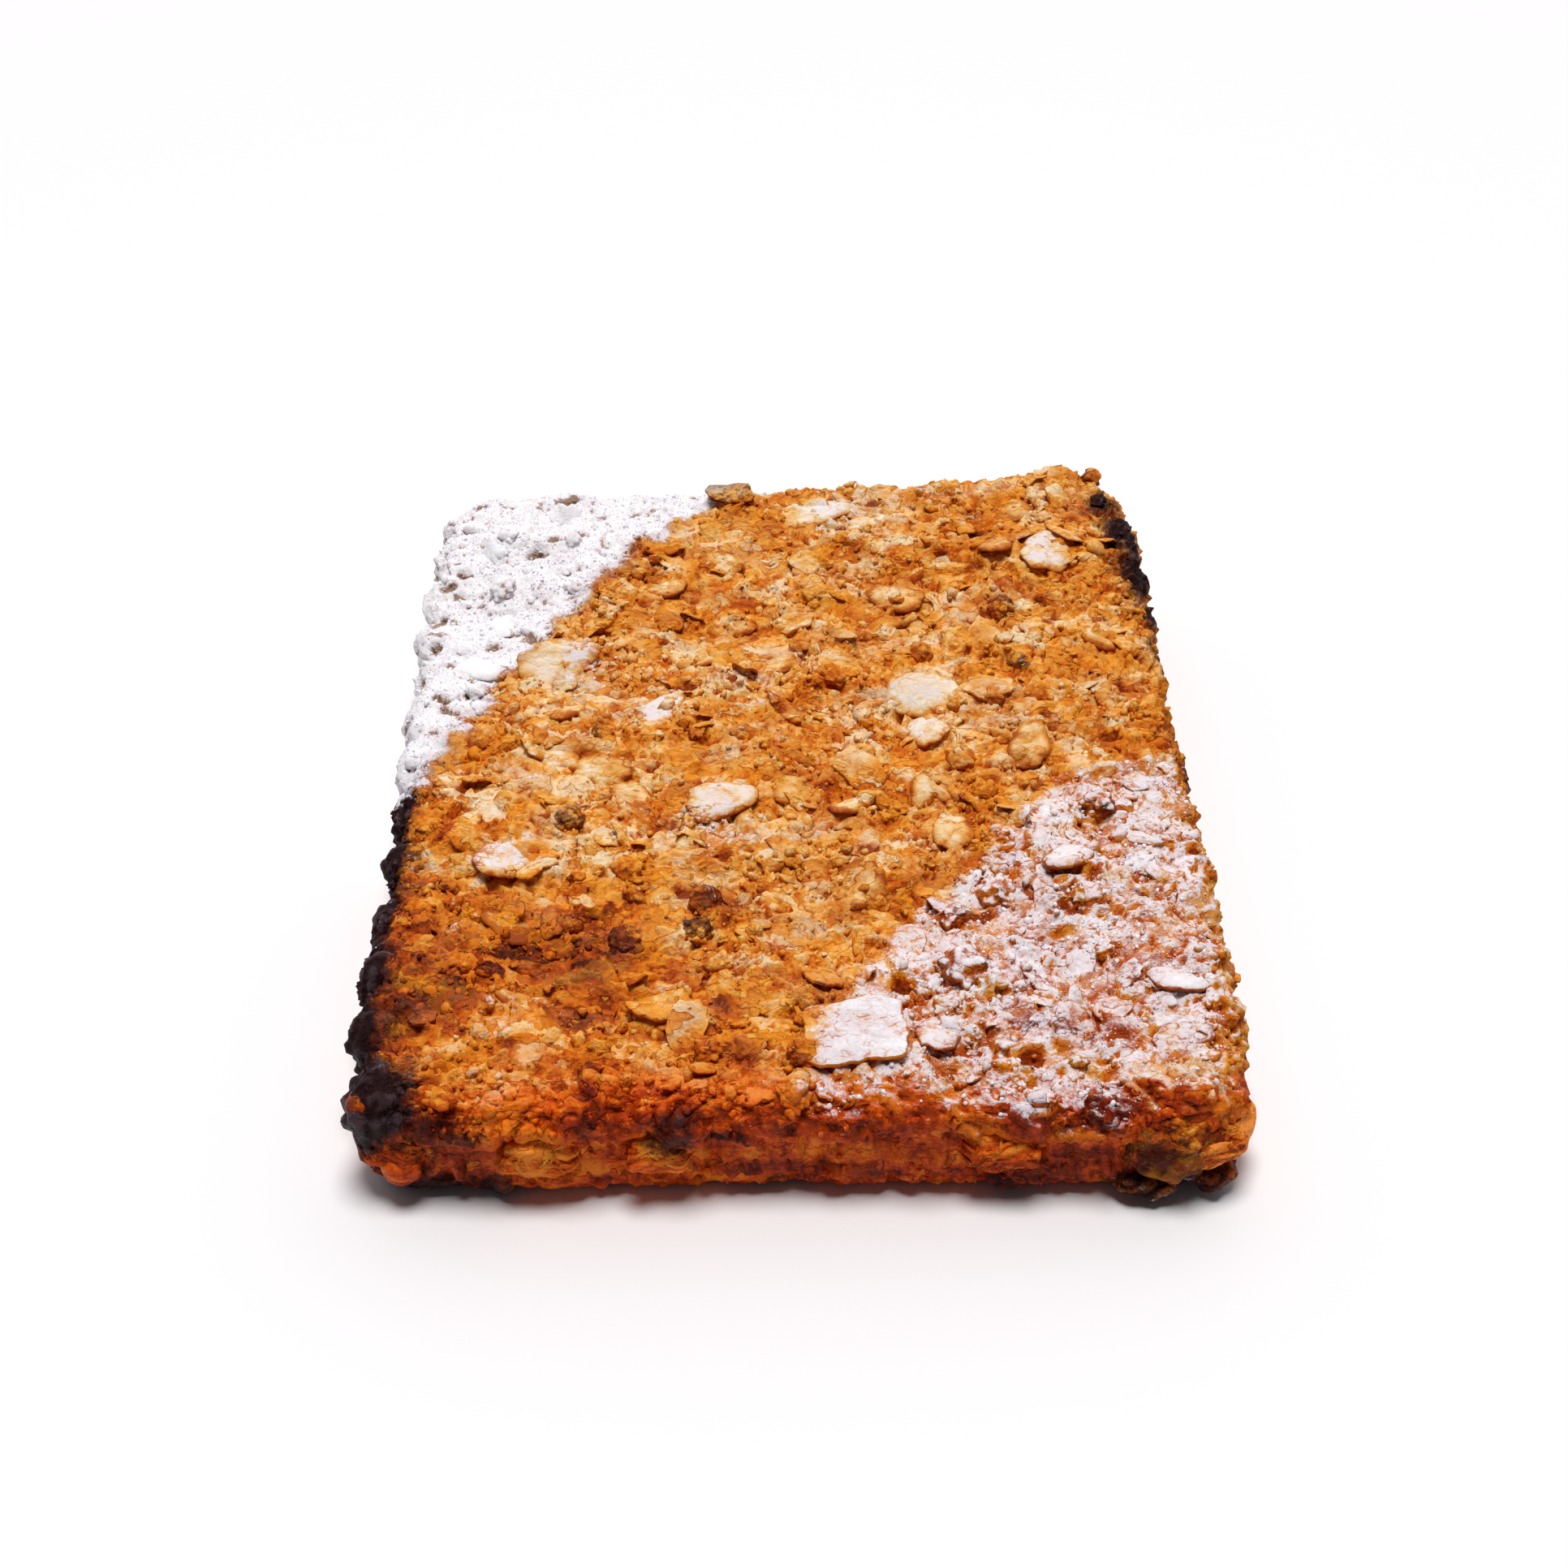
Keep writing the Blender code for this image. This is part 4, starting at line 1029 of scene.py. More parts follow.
def knobs():
    """The burnt knobs of the left rim, and the bulges and drooping lump of the front face."""
    parts = []
    for number, (middle, radii) in enumerate([*knob_places(), *BEADS]):
        bead = number >= len(knob_places())
        fibrous = number - LEFT_KNOBS - 1 in FIBROUS_KNOBS
        local, faces, tones, opens = knobbly(radii, 4, 80 + number, KNOB_CLOD, 0.08 if bead else 0.24)
        if fibrous:
            local, opens = drawn_into_fibres(local)
        points = local + middle
        points[:, 2] = np.maximum(points[:, 2], LOWEST_POINT)
        values = stains(points, normals_of(points, faces), 0.22 + 0.35 * tones, opens)
        if number <= LEFT_KNOBS:
            values["char"] += 0.25 * (opens - 0.4)
        if fibrous:
            values["tone"] -= 0.35
            values["glaze"] *= 0.0
            # The char and openness of a fibrous lump follow its fibres, darker in the grooves between them:
            # painted shade in the grooves, over its own burning.
            values["char"] = values["char"] * 0.6 + 0.15 + 0.34 * (0.5 - opens)
            values["open"] = 0.30 + 0.30 * opens
            values["sugar"] = 0.20 + 0.10 * (opens - 0.45)
        if bead:
            values["char"] *= 0.2
            values["glaze"] += 0.8
            values["open"] = 0.2 + 0.3 * opens
        parts.append((points, faces.tolist(), values))
    return joined(parts)


def drawn_into_fibres(points):
    """A lump's points with fine slanting fibres, and how open it is there."""
    moved, opens = [], []
    for x, y, z in points:
        fibre = noise_at(Vector((x + 0.5 * z, y, z - 0.5 * x)), *FIBRE_SIZES)
        moved.append(Vector((x, y, z)) * (1 + FIBRE_RELIEF * fibre))
        opens.append(clipped(0.45 + 1.1 * fibre))
    return np.array(moved), np.array(opens)


def flake(length, width, thickness, seed, sides, rings, rough, square, sunken_rim=0.0):
    """A broken plate of crust with a ragged outline: points, faces, tone and openness."""
    spread, faces = disc(sides, rings)
    points, tones, opens = [], [], []
    power, pull = square
    for angle, share, side in spread:
        way = Vector((math.cos(angle), math.sin(angle), seed))
        ragged = 1.04 + rough * noise.noise(way * 1.4) + 0.5 * rough * noise.noise(way * 6.0)
        ragged *= (abs(math.cos(angle)) ** power + abs(math.sin(angle)) ** power) ** -pull
        x = length / 2 * math.cos(angle) * share * ragged
        y = width / 2 * math.sin(angle) * share * ragged
        height, tone, open_share = crumbly(Vector((x, y, seed * 0.1)))
        thick = thickness / 2 * (1 - 0.5 * share**6)
        z = side * thick + FLAKE_CURL * (share * ragged) ** 2 * noise.noise(way * 0.9)
        z += height * 0.15 - sunken_rim * share**4
        points.append((x, y, z))
        tones.append(tone)
        # The underside gets a low openness, which paints it darker: painted shade.
        opens.append(max(open_share, 0.45) if side > 0 else 0.25)
    return np.array(points), faces, np.array(tones), np.array(opens)


def flakes(taken):
    """The lifted flakes of crust, with the wide powdered one and the browned one at the far edge."""
    sides, far_sides, shard_sides = FLAKE_SIDES
    far_lie = (-FAR_FLAKE_RISE, 0.0, FAR_FLAKE_LEAN, 0.0)
    rows = [
        (*FLAKE_PLACE, *FLAKE_SIZE, FLAKE_THICKNESS, sides, -FLAKE_RISE, 0.0, FLAKE_LEAN, 0.0),
        (*FAR_FLAKE_PLACE, *FAR_FLAKE_SIZE, FLAKE_THICKNESS, far_sides, *far_lie),
    ]
    for x, y, length, *lie in shard_places(taken):
        width = length * SHARD_WIDTH_SHARE
        rows.append((x, y, length, width, SHARD_THICKNESS, shard_sides, -SHARD_RISE, *lie))
    parts = []
    for number, (x, y, length, width, thickness, sides, *lie) in enumerate(rows):
        form = (FLAKE_RINGS, 0.13, SQUARISH) if number == 0 else (FLAKE_RINGS, 0.26, ROUNDISH)
        local, faces, tones, opens = flake(length, width, thickness, 3 + number, sides, *form)
        points = on_top(local, x, y, *lie)
        values = stains(points, normals_of(points, faces), 0.30 + 0.4 * tones, opens)
        if number == 0:
            values["sugar"] += 0.20
        if number == 1:
            values["char"] += 0.25
            values["sugar"] *= 0.2
        parts.append((points, faces, values))
    return joined(parts)


# Small pieces scattered over the crust.


def surface_places(surface, count, weight, rng):
    """Random places on a surface, more of them where weight is high: points and normals."""
    points, faces, normals = surface
    corners = points[faces]
    middles = corners.mean(axis=1)
    facing = normals[faces].mean(axis=1)
    across = np.cross(corners[:, 2] - corners[:, 0], corners[:, 3] - corners[:, 1])
    share = np.linalg.norm(across, axis=1) / 2 * np.maximum(weight(middles, facing), 0.0)
    chosen = rng.choice(len(faces), count, p=share / share.sum())
    mix = rng.dirichlet((1, 1, 1, 1), count)[:, :, None]
    places = (corners[chosen] * mix).sum(axis=1)
    places[:, 2] = np.minimum(places[:, 2], HIGHEST_PLACE)
    return places, facing[chosen]


def random_turns(count, rng):
    """Random rotation matrices."""
    q = rng.normal(size=(count, 4))
    w, x, y, z = (q / np.linalg.norm(q, axis=1, keepdims=True)).T
    rows = [
        [1 - 2 * (y * y + z * z), 2 * (x * y - z * w), 2 * (x * z + y * w)],
        [2 * (x * y + z * w), 1 - 2 * (x * x + z * z), 2 * (y * z - x * w)],
        [2 * (x * z - y * w), 2 * (y * z + x * w), 1 - 2 * (x * x + y * y)],
    ]
    return np.array(rows).transpose(2, 0, 1)


def leaning_turns(facing, lean, rng):
    """Rotations that lay a flat piece along the surface, spun at random and leaning a little."""
    turns = []
    for normal in facing:
        tilt = Vector((0, 0, 1)).rotation_difference(Vector(normal)).to_matrix()
        axis = Vector((rng.uniform(-1, 1), rng.uniform(-1, 1), 0.01)).normalized()
        leaning = Matrix.Rotation(rng.uniform(0, lean), 3, axis)
        turns.append(np.array(tilt @ leaning @ Matrix.Rotation(rng.uniform(0, 6.3), 3, "Z")))
    return np.array(turns)


def copies(template, middles, radii, uneven, stretch, rng):
    """Uneven copies of a template: points, faces, the number of each point's copy and its way out."""
    base, faces = template
    count = len(middles)
    turns = random_turns(count, rng)
    knobs_round = rng.normal(size=(count, 4, 3))
    swell = np.abs(np.einsum("pk,nqk->npq", base, knobs_round)).max(axis=2, keepdims=True)
    swell = 1 + 0.9 * uneven * (swell - swell.mean(axis=1, keepdims=True))
    wobble = swell + uneven * rng.uniform(-1, 1, (count, len(base), 1))
    scale = 1 + stretch * rng.uniform(-1, 1, (count, 1, 3))
    ways = np.einsum("nij,nkj->nki", turns, base[None] * wobble * scale)
    points = ways * radii[:, None, None] + middles[:, None]
    numbered = faces[None] + len(base) * np.arange(count)[:, None, None]
    length = np.linalg.norm(ways, axis=2, keepdims=True)
    owner = np.repeat(np.arange(count), len(base))
    return points.reshape(-1, 3), numbered.reshape(-1, faces.shape[1]), owner, (ways / length).reshape(-1, 3)


def strewn(surface, weight, count, radii, power, lift, template, uneven, stretch, rng):
    """Copies of a template strewn over a surface: what copies() gives, and their middles and normals."""
    middles, facing = surface_places(surface, count, weight, rng)
    sizes = radii[0] + (radii[1] - radii[0]) * rng.uniform(0, 1, count) ** power
    middles = middles + facing * (sizes * lift)[:, None]
    return *copies(template, middles, sizes, uneven, stretch, rng), middles, facing


def crumb_weight(middles, facing):
    """How thickly crumbs lie: in patches, and fewer on the sugared corners."""
    share = smooth(patchy(middles, 0.013), -0.35, 0.35) * smooth(facing[:, 2], -0.3, 0.3)
    share = share * (middles[:, 2] > 0.002)
    return share * (1 - 0.7 * far_share(middles)) * (1 - 0.6 * near_share(middles)) + 0.02


def crumbs(surface, level, count, radii, rng):
    """Crumbs of crust lying all over it."""
    form = (1.7, 0.05, ball(level), 0.28, 0.45)
    points, faces, owner, ways, middles, facing = strewn(surface, crumb_weight, count, radii, *form, rng)
    own = (0.5 + 0.6 * patchy(middles, 0.006) + rng.uniform(-0.2, 0.2, count))[owner]
    points[:, 2] = np.maximum(points[:, 2], LOWEST_POINT)
    settled = 0.65 * facing[owner] + 0.35 * ways
    # Each crumb is more open on its upper side, so it is painted lighter on top and darker below: painted
    # light and shade.
    return points, faces, stains(points, settled, 0.25 + 0.38 * own, 0.50 + 0.35 * ways[:, 2])


def sugar_pieces(surface, template, count, radii, lift, rng, stray_share):
    """Clumps or grains of sugar, thick on the sugared corners and few elsewhere."""
    def weight(middles, facing):
        share = smooth(sugar_at(middles, facing), 0.24, 0.90) + stray_share
        return share * (middles[:, 2] > 0.004) * smooth(facing[:, 2], 0.0, 0.5)

    points, faces, _, ways, _, _ = strewn(surface, weight, count, radii, 2, lift, template, 0.18, 0.25, rng)
    # Grains are more open on their upper side, so the sugar is painted white on top and grey-blue below:
    # painted shade.
    return points, faces, {"open": 0.5 + 0.4 * ways[:, 2]}


def scale_weight(middles, facing):
    """How thickly scales lie: on the top face alone, and few on the far sugared corner."""
    on_top_face = smooth(facing[:, 2], 0.35, 0.75) * (np.abs(middles[:, 0]) < HALF_WIDTH - SHOULDER)
    return on_top_face * (middles[:, 2] > 0.010) * (1 - 0.85 * far_share(middles))


def scales(surface, rng):
    """The thin ragged flakes that lie over each other all over the top."""
    middles, facing = surface_places(surface, SCALES, scale_weight, rng)
    parts = []
    turns = leaning_turns(facing, SCALE_LEAN, rng)
    shades = 0.45 + 0.35 * patchy(middles, 0.009) + rng.uniform(-0.10, 0.10, SCALES)
    form = (SCALE_SIDES, SCALE_RINGS, 0.55, ROUNDISH, 0.0005)
    for number in range(SCALES):
        share = rng.uniform(0, 1) ** 1.5
        length = SCALE_LENGTHS[0] + (SCALE_LENGTHS[1] - SCALE_LENGTHS[0]) * share
        width = length * rng.uniform(0.5, 0.9)
        thickness = rng.uniform(*SCALE_THICKNESSES)
        local, faces, tones, opens = flake(length, width, thickness, number * 0.7, *form)
        points = local @ turns[number].T + middles[number]
        rim = smooth(np.hypot(local[:, 0] / length, local[:, 1] / width) * 2, 0.60, 1.1)
        tone = shades[number] + 0.40 * (tones - 0.5) - 0.20 * rim
        values = stains(points, normals_of(points, faces), tone, np.clip(opens + 0.15, 0, 1))
        parts.append((points, faces, values))
    return joined(parts)


# The candied squash.


def filling_point(a, b, level, inner=0.0):
    """A point on the outside of the squash layer: level is 1 at its top and -1 at its base."""
    inset, fullness = filling_edge(*plan_point(a, b, 0.0))
    drawn_in = float(np.interp(abs(level), (0.0, 0.4, 1.0), (0.05, 0.15, 1.0)))
    x, y = plan_point(a, b, inset + FILLING_ROUNDING * drawn_in + inner)
    middle, half = squash_span()
    return x, y, middle + level * half * fullness


def candied(values):
    """The values of the squash: less sugar and glaze than the crust has at the same place."""
    values["sugar"] *= 0.3
    values["glaze"] *= 0.2
    return values


def filling():
    """The squash layer, its rim drawn into strands."""
    rim = square_rim(int(FILLING_ALONG * 0.8), FILLING_ALONG)
    levels = [math.cos(math.pi * k / (FILLING_LEVELS - 1)) for k in range(FILLING_LEVELS)]
    points = np.array([filling_point(a, b, level) for level in levels for a, b in rim])
    rows = np.arange(len(points)).reshape(FILLING_LEVELS, len(rim))
    after = np.roll(rows, -1, axis=1)
    faces = np.stack([rows[:-1], rows[1:], after[1:], after[:-1]], -1).reshape(-1, 4)
    normals = normals_of(points, faces)
    tones, shifts = np.zeros((2, len(points)))
    for k, point in enumerate(points):
        place = Vector(point)
        wavy = place + Vector((0, 0, 0.0016 * noise_at(place, 0.008)))
        strand, fibre = noise_at(wavy, 0.009, 0.0013), noise_at(wavy, 0.0040, 0.0006)
        shifts[k] = FILLING_RELIEF * (0.8 * strand + 0.6 * noise_at(place, 0.003) + 0.4 * fibre)
        tones[k] = 0.55 + 0.4 * strand + 0.4 * fibre
    points = points + normals * shifts[:, None]
    values = candied(stains(points, normals, tones, tones))
    values["tone"] += 0.35 * smooth(points[:, 0], 0.058, 0.068) - 0.40 * smooth(points[:, 0], -0.058, -0.066)
    return points, faces.tolist() + [rows[0].tolist(), rows[-1][::-1].tolist()], values


def strand_mesh(route, radius):
    """A tapered tube along a route of points."""
    sides = STRAND_SIDES
    points, faces = [], []
    for k, middle in enumerate(route):
        along = (route[min(len(route) - 1, k + 1)] - route[max(0, k - 1)]).normalized()
        across = along.cross(Vector((0.13, 0.21, 0.97))).normalized()
        upward = across.cross(along)
        taper = math.sqrt(max(0.02, 1 - (2 * k / (len(route) - 1) - 1) ** 4))
        for n in range(sides):
            angle = 2 * math.pi * n / sides
            points.append(middle + radius * taper * (math.cos(angle) * across + math.sin(angle) * upward))
    for k in range(len(route) - 1):
        for n in range(sides):
            m = (n + 1) % sides
            faces.append([k * sides + n, (k + 1) * sides + n, (k + 1) * sides + m, k * sides + m])
    faces.append(list(range(sides)))
    faces.append([len(points) - 1 - n for n in range(sides)])
    return np.array([p[:] for p in points]), faces


def round_the_rim(a):
    """The square's point at this place along its front, which goes on round both front corners."""
    if abs(a) <= 1:
        return a, -1.0
    return math.copysign(1.0, a), -1.0 + (abs(a) - 1) * 0.8


def strands():
    """Loose strands of squash over the places where the layer shows."""
    rng = random.Random(SHAPE_SEEDS["strands"])
    parts = []
    windows = [(place / HALF_WIDTH, half / HALF_WIDTH * 0.7) for place, half, _ in FILLING_SHOWS]
    windows += CORNER_WINDOWS
    for number in range(STRANDS):
        middle, reach = windows[number % len(windows)]
        level, rise_share = rng.uniform(-0.7, 0.7), rng.uniform(-0.5, 0.5)
        half = rng.uniform(0.02, 0.05)
        start = middle + rng.uniform(-reach, reach)
        route = []
        for share in (2 * k / (STRAND_STEPS - 1) - 1 for k in range(STRAND_STEPS)):
            here = level + rise_share * share + 0.25 * math.sin(3 * share + number)
            here = max(-HIGHEST_LEVEL, min(HIGHEST_LEVEL, here))
            inner = 0.0003 + 0.0012 * abs(share) ** 3
            route.append(Vector(filling_point(*round_the_rim(start + half * share), here, inner)))
        points, faces = strand_mesh(route, rng.uniform(*STRAND_RADII))
        outward = np.tile((0.0, -1.0, 0.0), (len(points), 1))
        values = candied(stains(points, outward, rng.uniform(0.2, 0.9), rng.uniform(0.3, 0.8)))
        parts.append((points, faces, values))
    return joined(parts)


# Materials.


class Nodes:
    """The node tree of a material or a world, and short ways to add nodes to it."""

    def __init__(self, owner):
        owner.use_nodes = True
        self.tree = owner.node_tree

    def add(self, kind, inputs, **settings):
        """Adds a node: a socket given as an input is linked to it, and anything else is set on it."""
        node = self.tree.nodes.new("ShaderNode" + kind)
        for key, value in settings.items():
            setattr(node, key, value)
        for key, value in inputs.items():
            self.give(node.inputs[key], value)
        return node.outputs

    def give(self, socket, value):
        """Links or sets one input."""
        if isinstance(value, bpy.types.NodeSocket):
            self.tree.links.new(value, socket)
        else:
            socket.default_value = value

    def shade(self, **inputs):
        """Gives the surface shader its inputs, named with _ for a space."""
        for key, value in inputs.items():
            self.give(self.tree.nodes["Principled BSDF"].inputs[key.replace("_", " ")], value)

    def maths(self, operation, first, second=0.0):
        """One step of arithmetic."""
        return self.add("Math", {0: first, 1: second}, operation=operation)[0]

    def vector_maths(self, operation, first, second):
        """One step of arithmetic with vectors. SCALE takes a plain number second."""
        inputs = {0: first, "Scale" if operation == "SCALE" else 1: second}
        return self.add("VectorMath", inputs, operation=operation)[0]

    def total(self, values, weights):
        """The sum of the named values, each times its weight."""
        total = None
        for key, weight in weights.items():
            term = weight if key == "plus" else self.maths("MULTIPLY", values[key], weight)
            total = term if total is None else self.maths("ADD", total, term)
        return total

    def mixed(self, factor, first, second):
        """A mix of two colours."""
        inputs = {0: factor, 6: first, 7: second}
        return self.add("Mix", inputs, data_type="RGBA", clamp_factor=True)[2]

    def stepped(self, value, low, high, to_low=0.0, to_high=1.0):
        """A smooth rise from to_low to to_high as value goes from low to high."""
        inputs = {"Value": value, "From Min": low, "From Max": high, "To Min": to_low, "To Max": to_high}
        return self.add("MapRange", inputs, interpolation_type="SMOOTHSTEP")["Result"]

    def ramp(self, value, stops):
        """A colour ramp over (place, colour code) stops."""
        colour = self.add("ValToRGB", {"Fac": value})["Color"]
        elements = colour.node.color_ramp.elements
        while len(elements) < len(stops):
            elements.new(0.5)
        for element, (place, code) in zip(elements, stops):
            element.position = place
            element.color = srgb(code)
        return colour

    def grain(self, place, size, detail, rough=0.6):
        """Noise from 0 to 1 with features of this size."""
        inputs = {"Vector": place, "Scale": 1 / size, "Detail": detail, "Roughness": rough}
        return self.add("TexNoise", inputs)["Fac"]

    def torn_layers(self, place, size, levels):
        """Torn layers: how far down its layer each place is, from 0 to 1, and the layer's own value."""
        level = self.maths("MULTIPLY", self.grain(place, size, 4, 0.62), levels)
        number = self.maths("MULTIPLY", self.maths("FLOOR", level), 3.7)
        inputs = {"Vector": place, "W": number, "Scale": 110.0, "Detail": 1.0}
        own = self.add("TexNoise", inputs, noise_dimensions="4D")["Fac"]
        return self.maths("FRACT", level), own

    def crumb_cells(self, place, size):
        """Rounded crumbs of this size, from 0 between them to about 1 on top."""
        stray = self.add("TexNoise", {"Vector": place, "Scale": 0.7 / size, "Detail": 2.0})["Color"]
        moved = self.vector_maths("ADD", place, self.vector_maths("SCALE", stray, 1.6 * size))
        cells = self.add("TexVoronoi", {"Vector": moved, "Scale": 1 / size})
        return self.stepped(cells["Distance"], 0.75, 0.05)

    def surface_values(self):
        """The values on the mesh, noise of several kinds, and the shares that come from them, by name."""
        values = {}
        for name in ("tone", "open", "sugar", "char", "glaze", "dusted"):
            values[name] = self.add("Attribute", {}, attribute_name=name)["Fac"]
        place = self.add("TexCoord", {})["Object"]
        drawn = self.vector_maths("MULTIPLY", place, DRAWN_OUT)
        for name, (drawn_out, *kind) in NOISES.items():
            values[name] = self.grain(drawn if drawn_out else place, *kind)
        values["crumb"] = self.crumb_cells(place, CRUMB_LOOK)
        values["down"], values["own"] = self.torn_layers(drawn, *TORN_LOOK)
        for name, (weights, low, high) in SHARES.items():
            values[name] = self.stepped(self.total(values, weights), low, high)
        values["lap"] = self.total(values, LAP)
        return values


def baked(name, stops, bump=0.7, matte=0.45, soft=0.12, contrast=1.0, golden=0.45, pale=0.6):
    """A baked surface: its tone, painted shade in its cracks, burning and icing sugar come from the values on
    the mesh.
    """
    material = bpy.data.materials.new(name)
    nodes = Nodes(material)
    values = nodes.surface_values()

    def laid(colour, weights, code):
        return nodes.mixed(nodes.total(values, weights), colour, srgb(code))

    # The shade ramp paints crowns lighter and the foot of each torn layer darker: painted light and shade
    # over the dough's own tone.
    colour = nodes.ramp(nodes.total(values, {**SHADE, "tone": SHADE["tone"] * contrast}), stops)
    colour = laid(colour, dict(pale=pale), PALE_COLOUR)
    colour = laid(colour, dict(rosy=ROSY_SHARE * pale), ROSY_COLOUR)
    glaze = nodes.ramp(nodes.total(values, GLAZED_SHADE), GLAZED_STOPS)
    colour = nodes.mixed(values["wet"], colour, glaze)
    colour = laid(colour, dict(golden=golden), GOLDEN_COLOUR)
    # Painted shade with a painted orange glow in the cracks and hollows, then the dusted and scorched
    # colours.
    for weights, code in BROWNING_AND_CRACK_SHADE:
        colour = laid(colour, weights, code)
    # Burnt parts: coal with a painted grey sheen on its crowns.
    black, sheen_grey = (srgb(code) for code in COAL_AND_SHEEN_COLOURS)
    coal_with_sheen = nodes.mixed(nodes.total(values, dict(coal_sheen=0.40)), black, sheen_grey)
    colour = nodes.mixed(values["burnt"], colour, coal_with_sheen)
    powder = nodes.mixed(values["thick"], *(srgb(code) for code in POWDER_COLOURS))
    colour = laid(colour, dict(dusty=0.20), DUSTY_COLOUR)
    colour = nodes.mixed(nodes.total(values, dict(white=0.92, thick=0.06)), colour, powder)

    roughness = {0: values["white"], 2: nodes.total(values, {**MATTE, "plus": matte}), 3: 0.9}
    strength = nodes.stepped(values["white"], 0.0, 1.0, bump, 0.45 * bump)
    height = {"Height": nodes.total(values, HEIGHT), "Strength": strength, "Distance": 0.0010}
    nodes.shade(
        Base_Color=colour,
        Roughness=nodes.add("Mix", roughness, data_type="FLOAT", clamp_factor=True)[0],
        Normal=nodes.add("Bump", height)["Normal"],
        Specular_IOR_Level=0.12,
        Subsurface_Weight=soft,
        Subsurface_Radius=(1.0, 0.40, 0.12),
        Subsurface_Scale=0.0016,
    )
    return material


def powdered_sugar(name):
    """White sugar, with a painted grey-blue shade on the undersides of its grains and in its hollows."""
    material = bpy.data.materials.new(name)
    nodes = Nodes(material)
    values = {"open": nodes.add("Attribute", {}, attribute_name="open")["Fac"]}
    values["fine"] = nodes.grain(nodes.add("TexCoord", {})["Object"], 0.0005, 3)
    nodes.shade(
        Base_Color=nodes.ramp(nodes.total(values, dict(fine=0.5, open=0.6)), SUGAR_STOPS),
        Roughness=nodes.stepped(values["fine"], 0.3, 0.7, 0.55, 0.9),
        Normal=nodes.add("Bump", {"Height": values["fine"], "Strength": 0.4, "Distance": 0.0002})["Normal"],
        Subsurface_Weight=0.15,
        Subsurface_Scale=0.0006,
    )
    return material


def dress():
    """Builds every visible piece of the packet."""
    rng = np.random.default_rng(SHAPE_SEEDS["scattered"])
    points, faces, normals, tones, opens = crust()
    surface = (points, faces, normals)
    dough = baked("baked_crust", BAKED_STOPS)
    body = piece("crust", (points, faces, stains(points, normals, tones, opens)), dough)
    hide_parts("pastry")

    taken = [FLAKE_PLACE, FAR_FLAKE_PLACE] + [place[:2] for place in almond_places()]
    nut = baked("almond", ALMOND_STOPS, bump=0.5, matte=0.35, soft=0.25, contrast=1.2, golden=0.25, pale=0.25)
    piece("almond_slices", almonds(), nut)
    piece("crumb_lumps", lumps(taken), dough)
    piece("rim_knobs", knobs(), dough)
    piece("crust_flakes", flakes(taken), dough)
    piece("crust_crumbs", crumbs(surface, 2, CRUMBS, CRUMB_RADII, rng), dough)
    piece("fine_crumbs", crumbs(surface, 1, FINE_CRUMBS, FINE_CRUMB_RADII, rng), dough)
    piece("crust_scales", scales(surface, rng), dough)

    powder = powdered_sugar("icing_sugar")
    clumps = sugar_pieces(surface, ball(2), SUGAR_CLUMPS, SUGAR_CLUMP_RADII, 0.35, rng, 0.0)
    piece("sugar_clumps", clumps, powder)
    octahedron = (OCTAHEDRON_POINTS, OCTAHEDRON_FACES)
    grains = sugar_pieces(surface, octahedron, SUGAR_GRAINS, SUGAR_GRAIN_RADII, 0.6, rng, 0.003)
    piece("sugar_grains", grains, powder)

    look = dict(bump=1.0, matte=0.35, soft=0.3, contrast=1.2, golden=0.0, pale=0.0)
    squash = baked("candied_squash", SQUASH_STOPS, **look)
    layer = piece("squash_layer", filling(), squash)
    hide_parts("filling")
    piece("squash_strands", strands(), squash)


# The camera, the light and the floor.


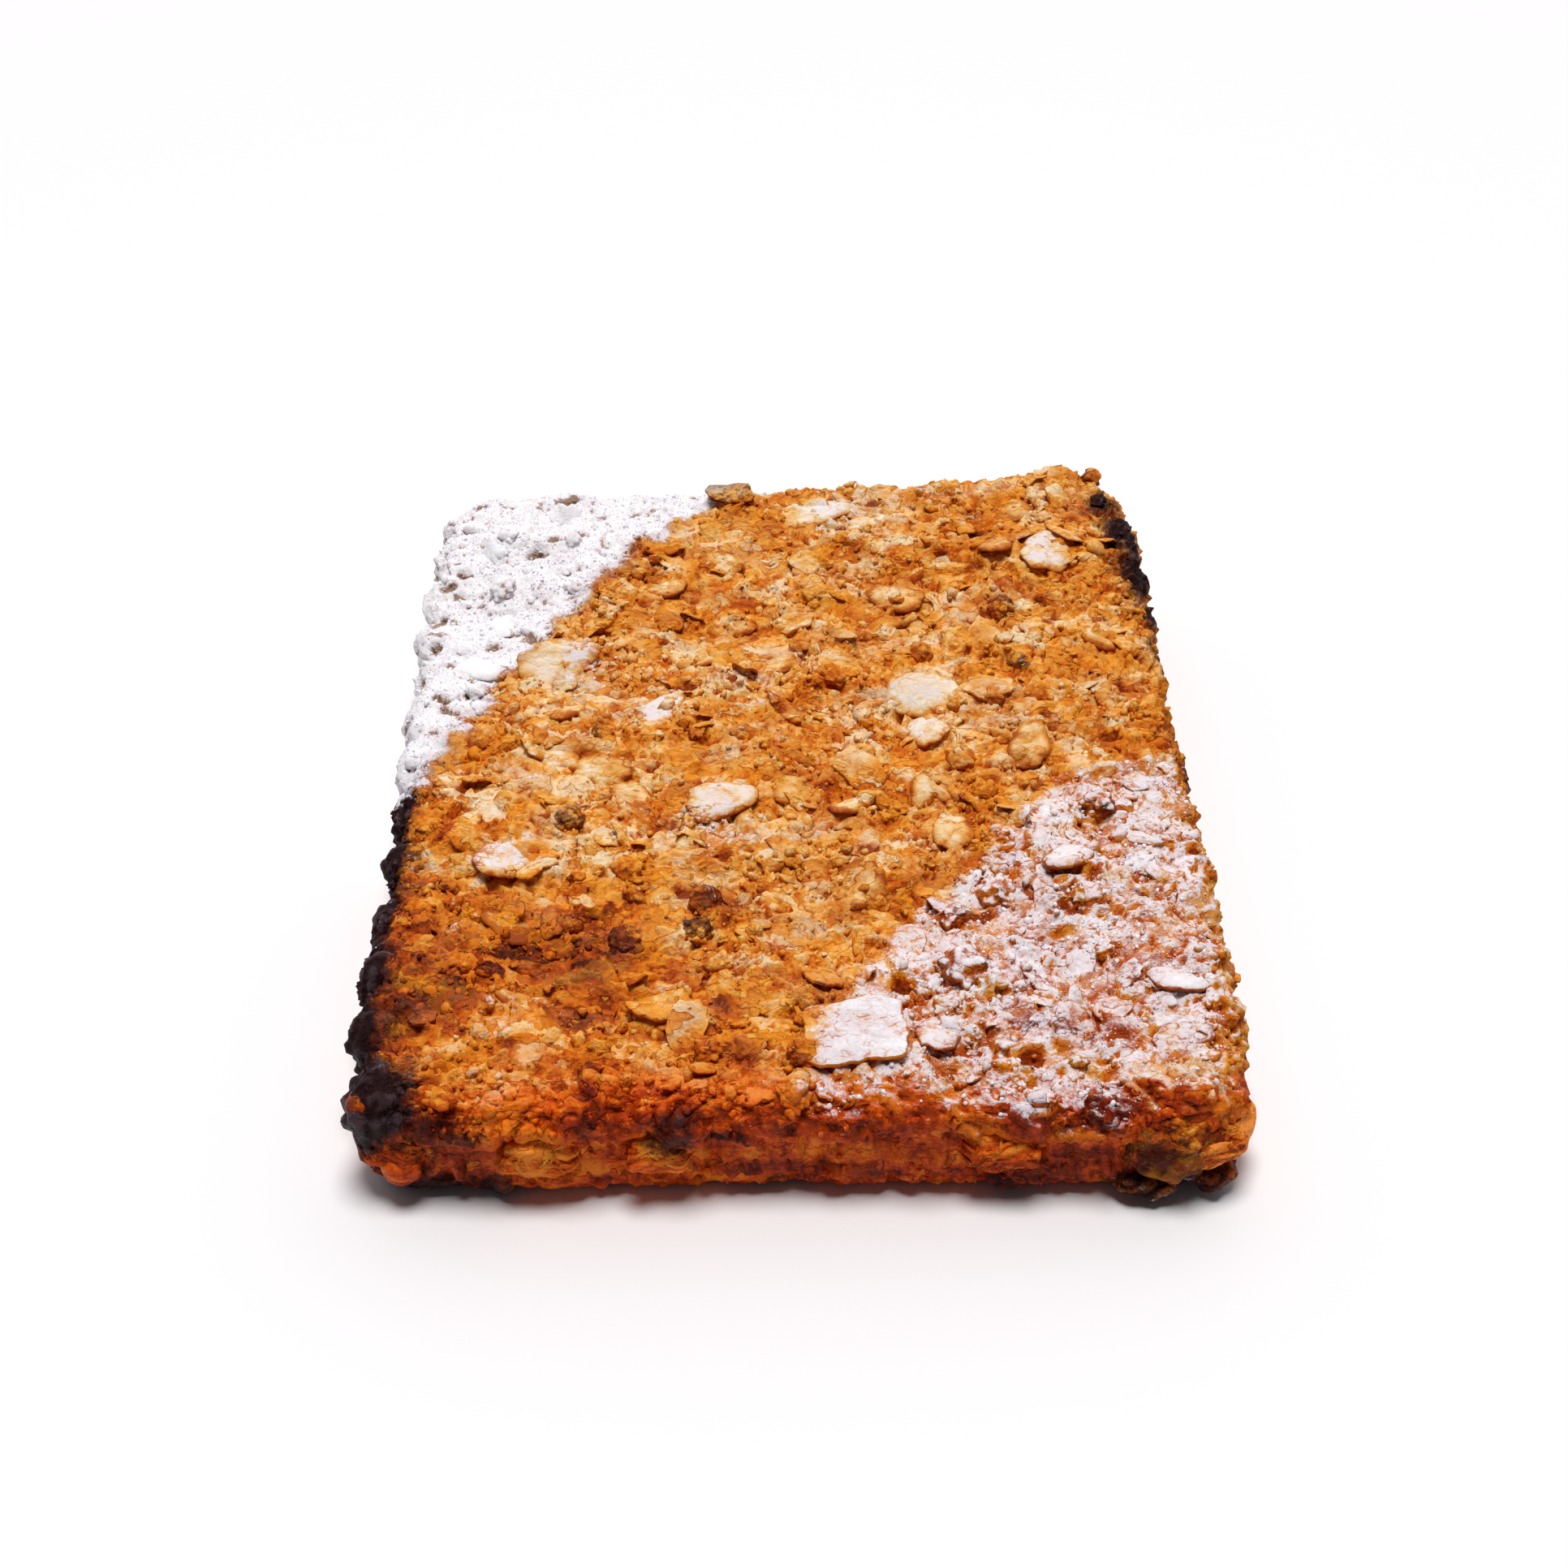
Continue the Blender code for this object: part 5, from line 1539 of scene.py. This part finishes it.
def camera():
    """The camera at the photograph's viewing angle."""
    data = bpy.data.cameras.new("camera")
    data.lens = CAMERA_LENS
    data.sensor_width = CAMERA_SENSOR
    data.clip_start = 0.01
    pitch, yaw, roll = (math.radians(v) for v in (CAMERA_PITCH, CAMERA_YAW, CAMERA_ROLL))
    forward = Vector((math.sin(yaw) * math.cos(pitch), math.cos(yaw) * math.cos(pitch), -math.sin(pitch)))
    right = Vector((math.cos(yaw), -math.sin(yaw), 0))
    up = right.cross(forward)
    rolled_right = math.cos(roll) * right + math.sin(roll) * up
    rolled_up = math.cos(roll) * up - math.sin(roll) * right
    turn = Matrix((rolled_right, rolled_up, -forward)).transposed().to_4x4()
    obj = linked("camera", data)
    obj.matrix_world = Matrix.Translation(CAMERA_PLACE) @ turn
    bpy.context.scene.camera = obj


def studio():
    """A plain white floor under one wide soft light and a soft white dome."""
    world = bpy.data.worlds.new("studio")
    nodes = Nodes(world)
    split = nodes.add("SeparateXYZ", {0: nodes.add("TexCoord", {})["Generated"]})
    dome = nodes.tree.nodes["Background"].inputs
    nodes.give(dome["Color"], DOME_COLOUR)
    nodes.give(dome["Strength"], nodes.stepped(split["Y"], *DOME_SPAN, *DOME_STRENGTHS))
    bpy.context.scene.world = world

    light = bpy.data.lights.new("key", "AREA")
    light.shape = "DISK"
    light.size = KEY_SIZE
    light.energy = KEY_POWER
    light.color = KEY_COLOUR
    key = linked("key", light)
    key.location = KEY_PLACE
    key.rotation_euler = (Vector() - Vector(KEY_PLACE)).to_track_quat("-Z", "Y").to_euler()

    material = bpy.data.materials.new("floor")
    Nodes(material).shade(Base_Color=FLOOR_COLOUR, Roughness=FLOOR_ROUGHNESS)
    mesh = bpy.data.meshes.new("floor")
    ways = ((-1, -1), (1, -1), (1, 1), (-1, 1))
    corners = [(x * FLOOR_REACH, y * FLOOR_REACH, -FLOOR_DROP) for x, y in ways]
    mesh.from_pydata(corners, [], [(0, 1, 2, 3)])
    mesh.materials.append(material)
    floor = linked("floor", mesh)
    bpy.context.scene.view_settings.view_transform = "Standard"
    bpy.context.scene.view_settings.look = "None"


# Without a seed the noise vectors would differ from run to run.
noise.seed_set(NOISE_SEED)
dress()
camera()
studio()
